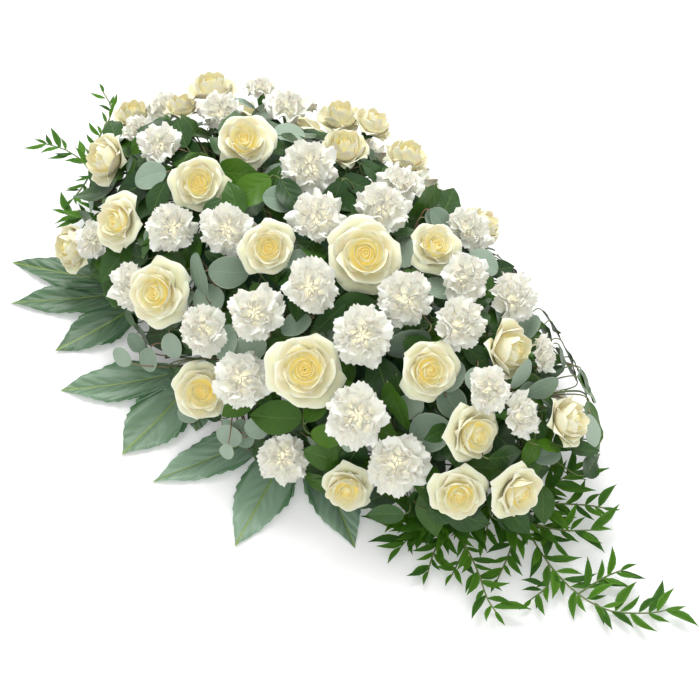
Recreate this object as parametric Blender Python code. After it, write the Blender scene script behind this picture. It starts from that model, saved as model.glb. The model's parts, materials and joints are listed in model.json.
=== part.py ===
"""A casket spray: roses, carnations and foliage standing in foam on a low tray.

Metres, +Z up. The origin is the middle of the tray's underside, +X runs along the spray to its
trailing tip and +Y runs to the back. Blooms and leaves are given as they are seen from the front
quarter, each by a spot and a facing, and are laid on a low mound. Stems run from them to the foam.
"""

import itertools
import math
from dataclasses import dataclass

import bmesh
import bpy
import numpy as np

# The front quarter view that spots are given in: turn about Z, height above the horizon, distance
VIEW_TURN = math.radians(43)
VIEW_RAISE = math.radians(52)
VIEW_DISTANCE = 2.6
VIEW_AIM = np.array((0.020, 0.008, 0.0))
# A spot is a column and a row in steps of this size, counted from the view's top left corner
STEP = 0.00115
MIDDLE = 350

# The mound that the blooms' centres lie on is half an ellipsoid
MOUND_CENTRE = np.array((0.0, 0.0, 0.05))
MOUND_REACH = np.array((0.36, 0.19, 0.165))
LOWEST_BLOOM = 0.055

# Tray and foam
TRAY_SIZE = (0.322, 0.142)
TRAY_HEIGHT = 0.030
TRAY_WALL = 0.0025
TRAY_CORNER = 0.008
TRAY_LEVELS = 5
SEAT_GAP = 0.0003
FOAM_SIZE = tuple(size - 2 * (TRAY_WALL + SEAT_GAP) for size in TRAY_SIZE)
FOAM_TOP = 0.088
FOAM_EDGE = 0.006
FOAM_ROOM = 0.002
CORNER_POINTS = 3
SPINE_HALF = 0.125
SPINE_SHARE = 0.38
SPINE_HEIGHT = 0.046
STEM_DEPTH = 0.024
HOLE_GAP = 0.00035
HOLE_RUN_OUT = 0.012
HOLE_FLOOR = 0.001

# Stems: radius and number of sides
ROSE_STEM = 0.0026
CARNATION_STEM = 0.0021
LEAF_STEM = 0.0022
FATSIA_STEM = 0.0020
RUSCUS_STEM = 0.0013
BRANCH = 0.0011
STEM_SIDES = 3
LEAF_STEM_SIDES = 4

# How stems run: a straight neck below a head, then a fork, then straight into the foam
NECK = 0.020
FORK_SHARES = (0.50, 0.35, 0.65, 0.20)
BOWS = (0.012, 0.025, 0.040)
SEAT_RINGS = 7
SEAT_TURNS = 6
SEAT_STEP_ALONG = 0.007
SEAT_STEP_UP = 0.004

# Room kept between pieces, and the spacing of the points that stand for them
CLEAR = 0.0016
SAMPLE = 0.0065
LEAF_ROOM = 0.0012
LOWEST_LEAF = 0.0006
SCRAP_CORNERS = 16

# Heads, as shares of their radius
HEAD_BACK = 0.50
HEAD_THICK = 0.56
STEM_SUNK = 0.30
HIDDEN_LIFT = np.array((0.0, 0.0, 0.35))
RIM_LIFT = np.array((0.0, 0.0, 1.2))
LEAST_TOWARD = 0.06

# Rings of a head from the stem up: radius, height, count, phase, and the ripple of each
ROSE_RINGS = (
    (0.00, -0.52, 1, 0.00, 0.00, 0.00), (0.34, -0.46, 5, 0.50, 0.00, 0.00),
    (0.92, 0.06, 10, 0.00, 0.08, 0.05), (0.62, 0.02, 5, 0.50, 0.00, 0.00),
    (0.68, 0.38, 10, 0.50, 0.07, -0.04), (0.44, 0.20, 5, 0.25, 0.00, 0.00),
    (0.38, 0.52, 5, 0.25, 0.00, 0.00), (0.00, 0.34, 1, 0.00, 0.00, 0.00))
CARNATION_RINGS = (
    (0.00, -0.52, 1, 0.00, 0.00, 0.00), (0.22, -0.44, 5, 0.00, 0.00, 0.00),
    (0.92, 0.02, 10, 0.00, 0.07, 0.10), (0.62, 0.06, 5, 0.50, 0.00, 0.00),
    (0.70, 0.34, 10, 0.00, 0.06, -0.08), (0.40, 0.24, 5, 0.00, 0.00, 0.00),
    (0.36, 0.50, 5, 0.50, 0.00, 0.00), (0.00, 0.34, 1, 0.00, 0.00, 0.00))

# Blades: width as a share of length, and stations of length and half width
SALAL_WIDTH = 0.66
SALAL_SHAPE = ((0.30, 0.50), (0.68, 0.36))
EUCALYPTUS_WIDTH = 0.90
EUCALYPTUS_SHAPE = ((0.26, 0.48), (0.76, 0.44))
RUSCUS_WIDTH = 0.30
RUSCUS_SHAPE = ((0.42, 0.50),)
BLADE_RIB = 0.0014
BLADE_FOLD = 0.10
BLADE_DROOP = 0.12

# Ways to set a leaf, tried in turn: size, depth in the mound in mm, pitch, roll, and stalk bow
LEAF_SCALES = (1.0, 0.8, 0.62, 0.5)
LEAF_DEPTHS = range(0, 60, 5)
LEAF_PITCHES = (0.0, -0.45, 0.45)
LEAF_ROLLS = (0.0, 0.45, -0.45, 0.9, -0.9)
STALK_BOWS = (0.0, 0.015, -0.015, 0.03, -0.03)
STALK_BACK = 0.006
STALK_DROP = 0.003
HUB_SHARES = (0.55, 0.40, 0.70, 0.25)
HUB_SINK = 0.05
JOINT_FIRST = 0.05
JOINT_SPREAD = 0.5

# Fatsia leaves: the middle's height, the lobes' height on the ground, and their form
FATSIA_MIDDLE = 0.024
FATSIA_TOP = 0.0020
FATSIA_FLAT = 0.70
FATSIA_FOLD = 0.0045
FATSIA_BLADE = 0.0010
FATSIA_NOTCH = 0.26
FATSIA_NOTCH_HALF = 0.3
FATSIA_STATIONS = ((0.50, 0.50), (0.68, 0.44), (0.73, 0.35))
FATSIA_WIDTH = 0.05
FATSIA_COLLAR = 0.030
FATSIA_COLLAR_HEIGHT = 0.048

# Ruscus: where leaves begin, how their size and spacing vary, and the ways to set one
RUSCUS_FIRST = 0.012
RUSCUS_SIZES = (0.80, 1.15)
RUSCUS_SPACINGS = (0.95, 1.30)
RUSCUS_SHRINKS = (1.0, 0.8)
RUSCUS_RISES = (0.10, 0.35, -0.10, 0.70)
RUSCUS_ANGLES = (0.75, 0.50, 1.00, 0.25)
RUSCUS_SHIFTS = (0, 4, 8, -4, 12, 16, -8, 22, 28, 34, -14, -20, -28)
RUSCUS_TAPER = 0.6
TIP_SUNK = 0.002


@dataclass(frozen=True)
class Bloom:
    """A head seen at a spot: radius and push back in mm, and how far it faces right and up."""
    column: float
    row: float
    radius: float
    right: float
    up: float
    back: float = 0.0


@dataclass(frozen=True)
class HiddenBloom:
    """A head on the far side: its place and radius in mm."""
    x: float
    y: float
    z: float
    radius: float


@dataclass(frozen=True)
class Leaf:
    """A leaf seen at a spot: the way its tip points, in degrees from the right, and length in mm."""
    column: float
    row: float
    points: float
    length: float
    sink: float = 8.0


@dataclass(frozen=True)
class RimLeaf:
    """A leaf of the collar: its middle in mm, the way it points in plan in degrees, and its length."""
    x: float
    y: float
    z: float
    points: float
    length: float
    sink: float = 0.0


ROSES = {
    "rose_01": [Bloom(134, 118, 25, -0.10, 0.70, 50), Bloom(109, 160, 31, -0.75, 0.15)],
    "rose_02": [Bloom(182, 110, 23, 0.10, 0.85, 5), Bloom(212, 93, 29, 0.00, 0.80, 5)],
    "rose_03": [Bloom(119, 222, 34, -0.55, 0.05), Bloom(77, 247, 29, -0.80, -0.10)],
    "rose_04": [Bloom(199, 183, 34, 0.00, 0.00)],
    "rose_05": [Bloom(244, 142, 36, 0.05, 0.30)],
    "rose_06": [Bloom(158, 293, 39, -0.35, -0.05, -5)],
    "rose_07": [Bloom(203, 392, 36, -0.10, -0.10)],
    "rose_08": [Bloom(268, 249, 32, 0.00, 0.05)],
    "rose_09": [Bloom(365, 255, 43, 0.03, 0.08, 5)],
    "rose_10": [Bloom(305, 369, 43, 0.00, 0.00)],
    "rose_11": [Bloom(428, 370, 34, 0.25, -0.10)],
    "rose_12": [Bloom(347, 488, 30, -0.10, -0.50)],
    "rose_13": [Bloom(473, 433, 35, 0.55, -0.30, 9)],
    "rose_14": [Bloom(459, 493, 32, 0.00, -0.40), Bloom(517, 491, 34, 0.55, -0.45)],
    "rose_15": [Bloom(564, 421, 29, 0.80, 0.20, 14)],
    "rose_16": [Bloom(505, 350, 32, 0.75, 0.00, 4)],
    "rose_17": [Bloom(434, 247, 31, 0.25, 0.35)],
    "rose_18": [Bloom(480, 227, 25, 0.70, 0.60)],
    "rose_19": [Bloom(405, 161, 28, 0.40, 0.75), Bloom(345, 152, 28, 0.00, 0.65)],
    "rose_20": [Bloom(341, 121, 28, 0.00, 0.80, 10), Bloom(371, 127, 25, 0.50, 0.70, -8)],
    "rose_21": [HiddenBloom(-290, 145, 65, 30), HiddenBloom(-215, 180, 62, 30)],
    "rose_22": [HiddenBloom(130, 145, 62, 29), HiddenBloom(205, 105, 60, 29)],
}

CARNATIONS = {
    "carnation_01": [Bloom(166, 108, 28, 0.00, 0.80, 40), Bloom(138, 130, 21, -0.30, 0.50)],
    "carnation_02": [Bloom(219, 111, 30, 0.10, 0.50, -34), Bloom(160, 145, 28, -0.10, 0.20)],
    "carnation_03": [Bloom(93, 241, 25, -0.30, 0.00), Bloom(133, 286, 32, -0.50, 0.00, 10)],
    "carnation_04": [Bloom(172, 227, 32, 0.00, 0.00), Bloom(227, 230, 33, 0.00, 0.00)],
    "carnation_05": [Bloom(202, 329, 32, -0.50, -0.10), Bloom(242, 379, 34, 0.00, 0.00)],
    "carnation_06": [Bloom(255, 313, 33, 0.00, 0.00), Bloom(311, 287, 34, 0.00, 0.00, -5)],
    "carnation_07": [Bloom(318, 218, 35, 0.00, 0.40, 5)],
    "carnation_08": [Bloom(406, 299, 34, 0.25, 0.00, 5)],
    "carnation_09": [Bloom(362, 335, 36, 0.00, 0.00, -6)],
    "carnation_10": [Bloom(357, 414, 36, 0.00, -0.05, -8)],
    "carnation_11": [Bloom(283, 457, 32, -0.05, -0.20), Bloom(396, 464, 38, 0.00, -0.30, 12)],
    "carnation_12": [Bloom(490, 390, 28, 0.30, 0.00, -16), Bloom(522, 416, 28, 0.80, 0.00, 8)],
    "carnation_13": [Bloom(542, 355, 24, 0.90, 0.15, 14), Bloom(513, 298, 34, 0.70, 0.10)],
    "carnation_14": [Bloom(460, 324, 34, 0.60, 0.00, -6)],
    "carnation_15": [Bloom(466, 278, 31, 0.55, 0.10), Bloom(469, 230, 30, 0.45, 0.35)],
    "carnation_16": [Bloom(382, 208, 34, 0.15, 0.45), Bloom(402, 185, 29, 0.25, 0.75)],
    "carnation_17": [Bloom(309, 166, 34, 0.00, 0.15)],
    "carnation_18": [Bloom(289, 107, 33, 0.05, 0.75, -8), Bloom(261, 89, 24, 0.00, 0.88, 14)],
    "carnation_19": [HiddenBloom(-135, 203, 62, 31), HiddenBloom(-50, 208, 62, 32)],
    "carnation_20": [HiddenBloom(40, 180, 60, 31), HiddenBloom(275, 68, 58, 28)],
}

SALAL = {
    "salal_01": [
        Leaf(137, 185, 200, 60), Leaf(158, 200, 250, 45), Leaf(236, 172, -20, 55),
        Leaf(248, 191, 215, 58), Leaf(272, 131, -50, 40), Leaf(283, 148, 0, 32),
        Leaf(292, 196, -60, 48), Leaf(112, 130, 120, 45),
        RimLeaf(-235, 45, 45, 160, 66), RimLeaf(-185, 112, 42, 120, 66), RimLeaf(-235, -40, 45, 200, 64)],
    "salal_02": [
        Leaf(362, 185, 0, 50), Leaf(376, 168, 30, 46), Leaf(423, 209, 240, 60),
        Leaf(449, 200, 60, 48), Leaf(440, 196, -20, 26), Leaf(500, 268, 20, 40),
        Leaf(335, 200, 250, 44),
        RimLeaf(-10, 130, 42, 90, 68), RimLeaf(-100, 130, 42, 98, 66), RimLeaf(80, 125, 42, 80, 68)],
    "salal_03": [
        Leaf(274, 315, -60, 42, 2), Leaf(357, 307, 0, 50), Leaf(331, 316, 45, 45),
        Leaf(275, 416, 180, 62), Leaf(318, 404, 60, 46), Leaf(330, 435, 0, 42),
        Leaf(225, 262, -30, 50), RimLeaf(-95, -115, 50, -100, 62)],
    "salal_04": [
        Leaf(396, 408, -75, 62), Leaf(353, 457, 240, 50), Leaf(428, 484, -65, 52),
        Leaf(385, 515, 190, 42), Leaf(380, 498, 200, 48), Leaf(412, 505, -100, 55),
        Leaf(432, 512, -80, 55),
        RimLeaf(95, -118, 50, -80, 64), RimLeaf(0, -120, 50, -90, 62), RimLeaf(190, -95, 45, -50, 62)],
    "salal_05": [
        Leaf(485, 349, 50, 50), Leaf(487, 364, -10, 54), Leaf(482, 466, 0, 58),
        Leaf(541, 437, 45, 42), Leaf(530, 453, 250, 32), Leaf(550, 446, -5, 36),
        Leaf(500, 440, -40, 46), Leaf(552, 372, 30, 38),
        RimLeaf(225, 30, 45, 15, 66), RimLeaf(170, 110, 42, 55, 66)],
}

EUCALYPTUS = {
    "eucalyptus_01": [
        Leaf(200, 275, 100, 50, 4), Leaf(229, 271, 0, 46, 4), Leaf(207, 300, 10, 45),
        Leaf(212, 341, 70, 32, 2), Leaf(226, 343, 75, 42), Leaf(250, 346, 200, 38),
        Leaf(296, 325, 200, 36)],
    "eucalyptus_02": [
        Leaf(265, 154, 135, 50, 0), Leaf(245, 103, 170, 36), Leaf(266, 113, 10, 36),
        Leaf(290, 133, 120, 38), Leaf(280, 180, -45, 42), Leaf(280, 200, 180, 40),
        Leaf(150, 176, 190, 40, 2)],
    "eucalyptus_03": [
        Leaf(368, 157, 60, 24), Leaf(407, 249, 80, 46, 2),
        Leaf(441, 221, -30, 36), Leaf(438, 289, -20, 36), Leaf(381, 308, 100, 36),
        Leaf(408, 345, 210, 54, 4), Leaf(483, 263, -20, 38)],
    "eucalyptus_04": [
        Leaf(452, 376, 70, 36, 2), Leaf(452, 402, -60, 38, 2),
        Leaf(430, 433, 30, 50), Leaf(521, 374, 60, 36, 2), Leaf(543, 388, 20, 36),
        Leaf(528, 327, 65, 36), Leaf(484, 309, -30, 36)],
    "eucalyptus_05": [
        Leaf(229, 436, 180, 32), Leaf(243, 434, 100, 34), Leaf(257, 427, 30, 32),
        Leaf(227, 452, 250, 20), Leaf(190, 411, 200, 30), Leaf(122, 357, 160, 27),
        Leaf(136, 342, 150, 27), Leaf(149, 360, 250, 30), Leaf(172, 346, 280, 30)],
}

# Fatsia leaves: the spot of the leaf's middle, and for each lobe its tip's spot and its width in mm
FATSIA = {
    "fatsia_01": ((165, 283), [(12, 262, 44), (10, 303, 44), (55, 352, 50)]),
    "fatsia_02": ((203, 365), [(60, 390, 50), (122, 455, 60), (196, 432, 36)]),
    "fatsia_03": ((303, 412), [(152, 482, 48), (235, 547, 54), (355, 548, 50)]),
}

# Ruscus stems: spots along each, with its height in mm, then the leaf's length in mm and spacing
RUSCUS = {
    "ruscus_01": [
        ([(500, 500, 30), (520, 520, 14), (549, 564, 9), (578, 594, 8), (611, 611, 8),
          (651, 613, 9), (678, 608, 10)], 40, 15),
        ([(520, 520, 14), (508, 556, 9), (497, 580, 8)], 34, 14),
        ([(549, 564, 9), (548, 585, 8), (530, 600, 8)], 32, 14),
        ([(578, 594, 8), (603, 578, 12), (622, 570, 14)], 34, 12),
        ([(520, 520, 14), (560, 530, 20), (592, 530, 22)], 40, 14),
        ([(500, 500, 30), (545, 503, 28), (585, 505, 26), (604, 508, 22)], 34, 14)],
    "ruscus_02": [
        ([(440, 505, 26), (449, 523, 12), (466, 547, 9), (478, 572, 8), (487, 598, 8),
          (496, 612, 8)], 36, 14),
        ([(449, 523, 12), (434, 552, 9), (428, 572, 8)], 34, 12),
        ([(440, 505, 26), (415, 530, 14), (400, 548, 12)], 42, 12),
        ([(466, 547, 9), (452, 575, 8)], 30, 12)],
    "ruscus_03": [
        ([(150, 165, 70), (95, 165, 60), (66, 150, 52), (46, 144, 52)], 32, 15),
        ([(95, 165, 60), (98, 140, 68), (112, 112, 76), (103, 92, 84)], 28, 12),
        ([(95, 165, 60), (84, 185, 52), (72, 200, 46)], 26, 12),
        ([(150, 165, 70), (118, 205, 50), (85, 218, 42), (66, 214, 38)], 38, 14)],
}


def view_axes():
    """Right, up and forward of the front quarter view, and the eye's place."""
    back = np.array((math.sin(VIEW_TURN) * math.cos(VIEW_RAISE),
                     -math.cos(VIEW_TURN) * math.cos(VIEW_RAISE), math.sin(VIEW_RAISE)))
    right = np.array((math.cos(VIEW_TURN), math.sin(VIEW_TURN), 0.0))
    return right, np.cross(right, -back), -back, VIEW_AIM + back * VIEW_DISTANCE


RIGHT, UP, FORWARD, EYE = view_axes()


def unit(vector):
    """The vector at length one."""
    return vector / np.linalg.norm(vector)


def sight(column, row):
    """The line of sight through a spot."""
    across = RIGHT * (column - MIDDLE) + UP * (MIDDLE - row)
    return unit(FORWARD * VIEW_DISTANCE + across * STEP)


def at_height(column, row, height):
    """Where the line of sight through a spot meets a level."""
    line = sight(column, row)
    return EYE + line * (height - EYE[2]) / line[2]


def on_mound(column, row, sink=0.0):
    """Where a spot lies on the mound, or on the mound shrunk by sink, but not below its lowest bloom."""
    reach = MOUND_REACH - sink
    line = sight(column, row)
    start = (EYE - MOUND_CENTRE) / reach
    slope = line / reach
    square, half = slope @ slope, slope @ start
    inner = half * half - square * (start @ start - 1.0)
    place = EYE + line * (-half - math.sqrt(max(inner, 0.0))) / square
    lowest = LOWEST_BLOOM - sink * 0.5
    return place if place[2] > lowest else at_height(column, row, lowest)


def mound_normal(place):
    """The way out of the mound at a place."""
    return unit((place - MOUND_CENTRE) / MOUND_REACH ** 2)


def side_axes(axis):
    """Two directions square to an axis and to each other."""
    side = np.cross(axis, (0.0, 0.0, 1.0))
    if np.linalg.norm(side) < 0.05:
        side = np.array((1.0, 0.0, 0.0))
    side = unit(side - axis * (side @ axis))
    return side, np.cross(axis, side)


@dataclass
class Head:
    """A bloom in place: centre, facing and radius."""
    centre: np.ndarray
    axis: np.ndarray
    radius: float

    def near(self, points, margin):
        """Whether any of the points lies within margin of the head."""
        offset = points - self.centre
        height = offset @ self.axis
        around = (offset * offset).sum(axis=1) - height * height
        wide, thick = self.radius + margin, self.radius * HEAD_THICK + margin
        return bool((around / wide ** 2 + (height / thick) ** 2 < 1.0).any())


def head_of(bloom):
    """The head that a bloom of the tables stands for."""
    if isinstance(bloom, HiddenBloom):
        centre = np.array((bloom.x, bloom.y, bloom.z)) / 1000
        return Head(centre, unit(mound_normal(centre) + HIDDEN_LIFT), bloom.radius / 1000)
    centre = on_mound(bloom.column, bloom.row) + sight(bloom.column, bloom.row) * bloom.back / 1000
    toward = math.sqrt(max(1.0 - bloom.right ** 2 - bloom.up ** 2, LEAST_TOWARD))
    axis = unit(RIGHT * bloom.right + UP * bloom.up - FORWARD * toward)
    return Head(centre, axis, bloom.radius / 1000)


def along(points, step=SAMPLE):
    """Points at even steps along a path."""
    found = [np.array(points[0])]
    for start, end in zip(points, points[1:]):
        count = max(1, math.ceil(np.linalg.norm(end - start) / step))
        found.extend(start + (end - start) * share / count for share in range(1, count + 1))
    return np.array(found)


def in_box(points, margin):
    """Whether any of the points lies in the foam or within margin of it."""
    half = np.array(FOAM_SIZE) / 2 + margin
    inside = (np.abs(points[:, :2]) < half).all(axis=1)
    return bool((inside & (points[:, 2] < FOAM_TOP + margin)).any())


class Room:
    """The space that is taken: heads, and small spheres along stems and over leaves."""

    def __init__(self):
        """Start empty."""
        self.heads = []
        self.places = np.zeros((0, 3))
        self.radii = np.zeros(0)
        self.owners = np.zeros(0, dtype=int)
        self.names = []

    def number(self, name):
        """The number that stands for a node's name."""
        if name not in self.names:
            self.names.append(name)
        return self.names.index(name)

    def free(self, name, points, radius, in_foam=False):
        """Whether spheres at the points stay clear of the ground and of what other nodes hold."""
        if points[:, 2].min() < radius + LOWEST_LEAF:
            return False
        if not in_foam and in_box(points, radius + FOAM_ROOM):
            return False
        for owner, head in self.heads:
            if owner != name and head.near(points, radius + CLEAR):
                return False
        other = self.owners != self.number(name)
        if not other.any():
            return True
        gaps = points[:, None, :] - self.places[other][None, :, :]
        reach = radius + self.radii[other] + CLEAR
        return not ((gaps * gaps).sum(axis=2) < reach[None, :] ** 2).any()

    def apart(self, points, radius):
        """Whether spheres at the points stay clear of the leaves and stems of every node."""
        gaps = points[:, None, :] - self.places[None, :, :]
        reach = radius + self.radii + CLEAR
        return not ((gaps * gaps).sum(axis=2) < reach[None, :] ** 2).any()

    def take(self, name, points, radius):
        """Mark spheres at the points as taken by a node."""
        count = len(points)
        self.places = np.vstack((self.places, points))
        self.radii = np.append(self.radii, np.full(count, radius))
        self.owners = np.append(self.owners, np.full(count, self.number(name)))


def foam_entry(outside, target):
    """Where the straight way from outside to a target inside the foam meets its surface."""
    low = np.array((-FOAM_SIZE[0] / 2, -FOAM_SIZE[1] / 2, TRAY_WALL))
    high = np.array((FOAM_SIZE[0] / 2, FOAM_SIZE[1] / 2, FOAM_TOP))
    way = target - outside
    share = 0.0
    for axis in range(3):
        if outside[axis] < low[axis]:
            share = max(share, (low[axis] - outside[axis]) / way[axis])
        if outside[axis] > high[axis]:
            share = max(share, (high[axis] - outside[axis]) / way[axis])
    return outside + way * share


def seats(place):
    """Targets inside the foam for a stem from a place, the nearest to its own share first."""
    middle = float(np.clip(place[0] * SPINE_SHARE, -SPINE_HALF, SPINE_HALF))
    for reach in range(SEAT_RINGS):
        for turn in range(SEAT_TURNS if reach else 1):
            angle = math.tau * turn / SEAT_TURNS + reach
            place_x = middle + SEAT_STEP_ALONG * reach * math.cos(angle)
            height = SPINE_HEIGHT + SEAT_STEP_UP * reach * math.sin(angle)
            yield np.array((place_x, 0.0, height))


@dataclass
class Foot:
    """The lower end of a stem: its end in the foam, and where it comes out."""
    end: np.ndarray
    mouth: np.ndarray


def foot_for(place, target):
    """The foot of a stem that runs straight from a place to a target in the foam."""
    mouth = foam_entry(place, target)
    inward = unit(target - place)
    return Foot(mouth + inward * STEM_DEPTH, mouth)


def bows(way):
    """Sideways shifts of a fork, the smallest first."""
    side, other = side_axes(unit(way))
    yield side * 0.0
    for size in BOWS:
        for turn in range(4):
            angle = math.tau * turn / 4
            yield (side * math.cos(angle) + other * math.sin(angle)) * size


def find_route(room, name, tops, radius):
    """A foot and a fork below the tops that leave all other nodes clear, with the ways between."""
    middle = sum(top[-1] for top in tops) / len(tops)
    for share in FORK_SHARES:
        for target in seats(middle):
            foot = foot_for(middle, target)
            for bow in bows(middle - foot.mouth):
                fork = foot.mouth + (middle - foot.mouth) * share + bow
                foot = foot_for(fork, target)
                ways = [np.array((foot.end, fork))] + [np.array((fork, *top[::-1])) for top in tops]
                if not room.free(name, along(ways[0]), radius, in_foam=True):
                    continue
                if all(room.free(name, along(way), radius) for way in ways[1:]):
                    return foot, ways
    raise ValueError("no clear way for " + name)


def lattice(rings, origin, axis, turn=0.0):
    """Vertices and triangles of a closed form given by rings round an axis, lowest first."""
    side, other = side_axes(axis)
    vertices, faces, rows = [], [], []
    for radius, height, count, phase, ripple, lift in rings:
        row = []
        for index in range(count):
            angle = turn + math.tau * (index + phase) / count
            wave = 1 if index % 2 == 0 else -1
            reach = radius + ripple * wave
            place = origin + axis * (height + lift * wave)
            row.append(len(vertices))
            vertices.append(place + (side * math.cos(angle) + other * math.sin(angle)) * reach)
        rows.append(row)
    for low, high in zip(rows, rows[1:]):
        bridge(faces, low, high)
    return vertices, faces


def bridge(faces, low, high):
    """Join two rings of any counts with triangles."""
    step = len(low) if len(low) == 1 else 0
    rise = len(high) if len(high) == 1 else 0
    while step < len(low) or rise < len(high):
        first, last = low[step % len(low)], high[rise % len(high)]
        low_next = (step + 1) / len(low) <= (rise + 1) / len(high)
        if rise == len(high) or (step < len(low) and low_next):
            faces.append((first, low[(step + 1) % len(low)], last))
            step += 1
        else:
            faces.append((first, high[(rise + 1) % len(high)], last))
            rise += 1


def head_solid(head, rings, turn):
    """A head: rounds of petals that stand clear of each other, from its back to its heart."""
    size = head.radius
    scaled = [(reach * size, height * size, count, phase, ripple * size, lift * size)
              for reach, height, count, phase, ripple, lift in rings]
    return lattice(scaled, head.centre, head.axis, turn)


def tube(path, radius, sides, tip_share=1.0):
    """A closed round bar along a path, which may narrow to its end."""
    path = [np.array(point) for point in path]
    runs = [unit(end - start) for start, end in zip(path, path[1:])]
    side, _ = side_axes(runs[0])
    vertices, faces, rows = [], [], []
    for index, point in enumerate(path):
        before, after = runs[max(index - 1, 0)], runs[min(index, len(runs) - 1)]
        along_run = unit(before + after)
        side = unit(side - along_run * (side @ along_run))
        other = np.cross(along_run, side)
        size = radius * (1.0 + (tip_share - 1.0) * index / (len(path) - 1))
        rows.append(range(len(vertices), len(vertices) + sides))
        for corner in range(sides):
            angle = math.tau * corner / sides
            vertices.append(point + (side * math.cos(angle) + other * math.sin(angle)) * size)
    for low, high in zip(rows, rows[1:]):
        bridge(faces, low, high)
    faces.append(tuple(rows[0])[::-1])
    faces.append(tuple(rows[-1]))
    return vertices, faces


@dataclass
class Blade:
    """A leaf blade in place: its base, the way it runs, its upper side and its sizes."""
    base: np.ndarray
    run: np.ndarray
    upper: np.ndarray
    length: float
    width: float
    stations: tuple

    def point(self, share, across):
        """The point at a share of the length and a distance across, on the upper side."""
        side = np.cross(self.run, self.upper)
        rise = abs(across) * BLADE_FOLD - self.length * BLADE_DROOP * share * share
        return self.base + self.run * self.length * share + side * across + self.upper * rise

    def half_width(self, share):
        """Half the blade's width at a share of its length."""
        shares = (0.0, *(station[0] for station in self.stations), 1.0)
        halves = (0.0, *(station[1] for station in self.stations), 0.0)
        return float(np.interp(share, shares, halves)) * self.width

    def samples(self):
        """Points spread over the blade."""
        rows = max(3, math.ceil(self.length / SAMPLE))
        found = []
        for row in range(rows + 1):
            half = self.half_width(row / rows)
            count = max(1, math.ceil(2 * half / SAMPLE))
            for column in range(count + 1):
                found.append(self.point(row / rows, half * (2 * column / count - 1)))
        return np.array(found)

    def solid(self, stalk=()):
        """The closed blade, grown from a three-sided stalk or else from a point at its base."""
        across = np.cross(self.run, self.upper)
        vertices, faces, rows = [], [], []
        if stalk:
            for place, side, run in carried_back([*stalk, self.base], across, self.run):
                lower = -unit(np.cross(side, run))
                rows.append(range(len(vertices), len(vertices) + 3))
                vertices += [place + side * BRANCH, place + lower * BRANCH, place - side * BRANCH]
            faces.append(tuple(rows[0])[::-1])
            for low, high in zip(rows, rows[1:]):
                bridge(faces, low, high)
        else:
            rows.append([0])
            vertices.append(self.base)
        depth = self.upper * BLADE_RIB
        for share, half in self.stations:
            left, middle, right = (self.point(share, self.width * half * way) for way in (-1, 0, 1))
            rows.append(range(len(vertices), len(vertices) + 4))
            vertices += [right, middle - depth / 2, left, middle + depth / 2]
            join_blade(faces, rows[-2], rows[-1])
        vertices.append(self.point(1.0, 0.0))
        bridge(faces, rows[-1], [len(vertices) - 1])
        return vertices, faces


def carried_back(path, side, last_run):
    """For each point of a path: its place, a side direction carried back from the end, and its run."""
    runs = [unit(end - start) for start, end in zip(path, path[1:])] + [last_run]
    found = []
    for index in range(len(path) - 1, -1, -1):
        run = unit(runs[max(index - 1, 0)] + runs[index]) if index else runs[0]
        side = unit(side - run * (side @ run))
        found.append((path[index], side, run))
    return found[::-1]


def join_blade(faces, low, high):
    """Join a point, a stalk's ring or a blade's ring to a blade's ring, alike above and below."""
    if len(low) == 1:
        bridge(faces, low, high)
        return
    if len(low) == 3:
        (right, bottom, left), (edge_right, lower, edge_left, upper) = low, high
        faces += [(right, bottom, lower), (right, lower, edge_right), (bottom, left, lower),
                  (left, edge_left, lower), (left, upper, edge_left), (left, right, upper),
                  (right, edge_right, upper)]
        return
    for index in range(4):
        after = (index + 1) % 4
        if index % 2 == 0:
            faces += [(low[index], low[after], high[index]), (low[after], high[after], high[index])]
        else:
            faces += [(low[index], low[after], high[after]), (low[index], high[after], high[index])]


def shell(top, faces, outline, depth):
    """A closed sheet: the upper faces, the same faces below, and a rim round the outline."""
    count = len(top)
    vertices = list(top) + [point + depth for point in top]
    solid = list(faces) + [tuple(count + corner for corner in face[::-1]) for face in faces]
    for first, second in zip(outline, outline[1:] + outline[:1]):
        solid += [(first, first + count, second + count), (first, second + count, second)]
    return vertices, solid


def leaf_seat(leaf, sink):
    """A leaf's middle, its upper side and a way that it runs, when it is sunk so far."""
    cosine, sine = math.cos(math.radians(leaf.points)), math.sin(math.radians(leaf.points))
    if isinstance(leaf, RimLeaf):
        middle = np.array((leaf.x, leaf.y, leaf.z)) / 1000
        middle[:2] -= mound_normal(middle)[:2] * sink
        return middle, unit(mound_normal(middle) + RIM_LIFT), np.array((cosine, sine, 0.0))
    middle = on_mound(leaf.column, leaf.row, sink)
    return middle, unit(mound_normal(middle) - FORWARD), RIGHT * cosine + UP * sine


def blade_at(leaf, sink, roll, pitch, width, stations, scale):
    """A leaf blade in its seat, rolled about its rib and pitched."""
    middle, upper, run = leaf_seat(leaf, sink)
    run = unit(run - upper * (run @ upper))
    run, upper = (unit(run * math.cos(pitch) + upper * math.sin(pitch)),
                  unit(upper * math.cos(pitch) - run * math.sin(pitch)))
    side = np.cross(run, upper)
    upper = unit(upper * math.cos(roll) + side * math.sin(roll))
    length = leaf.length / 1000 * scale
    return Blade(middle - run * length * 0.5, run, upper, length, length * width, stations)


def leaf_ways(leaf, width, stations):
    """The ways to set a leaf over its spot, the largest and least sunk first."""
    for scale, depth in itertools.product(LEAF_SCALES, LEAF_DEPTHS):
        for pitch, roll in itertools.product(LEAF_PITCHES, LEAF_ROLLS):
            yield blade_at(leaf, (leaf.sink + depth) / 1000, roll, pitch, width, stations, scale)


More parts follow.
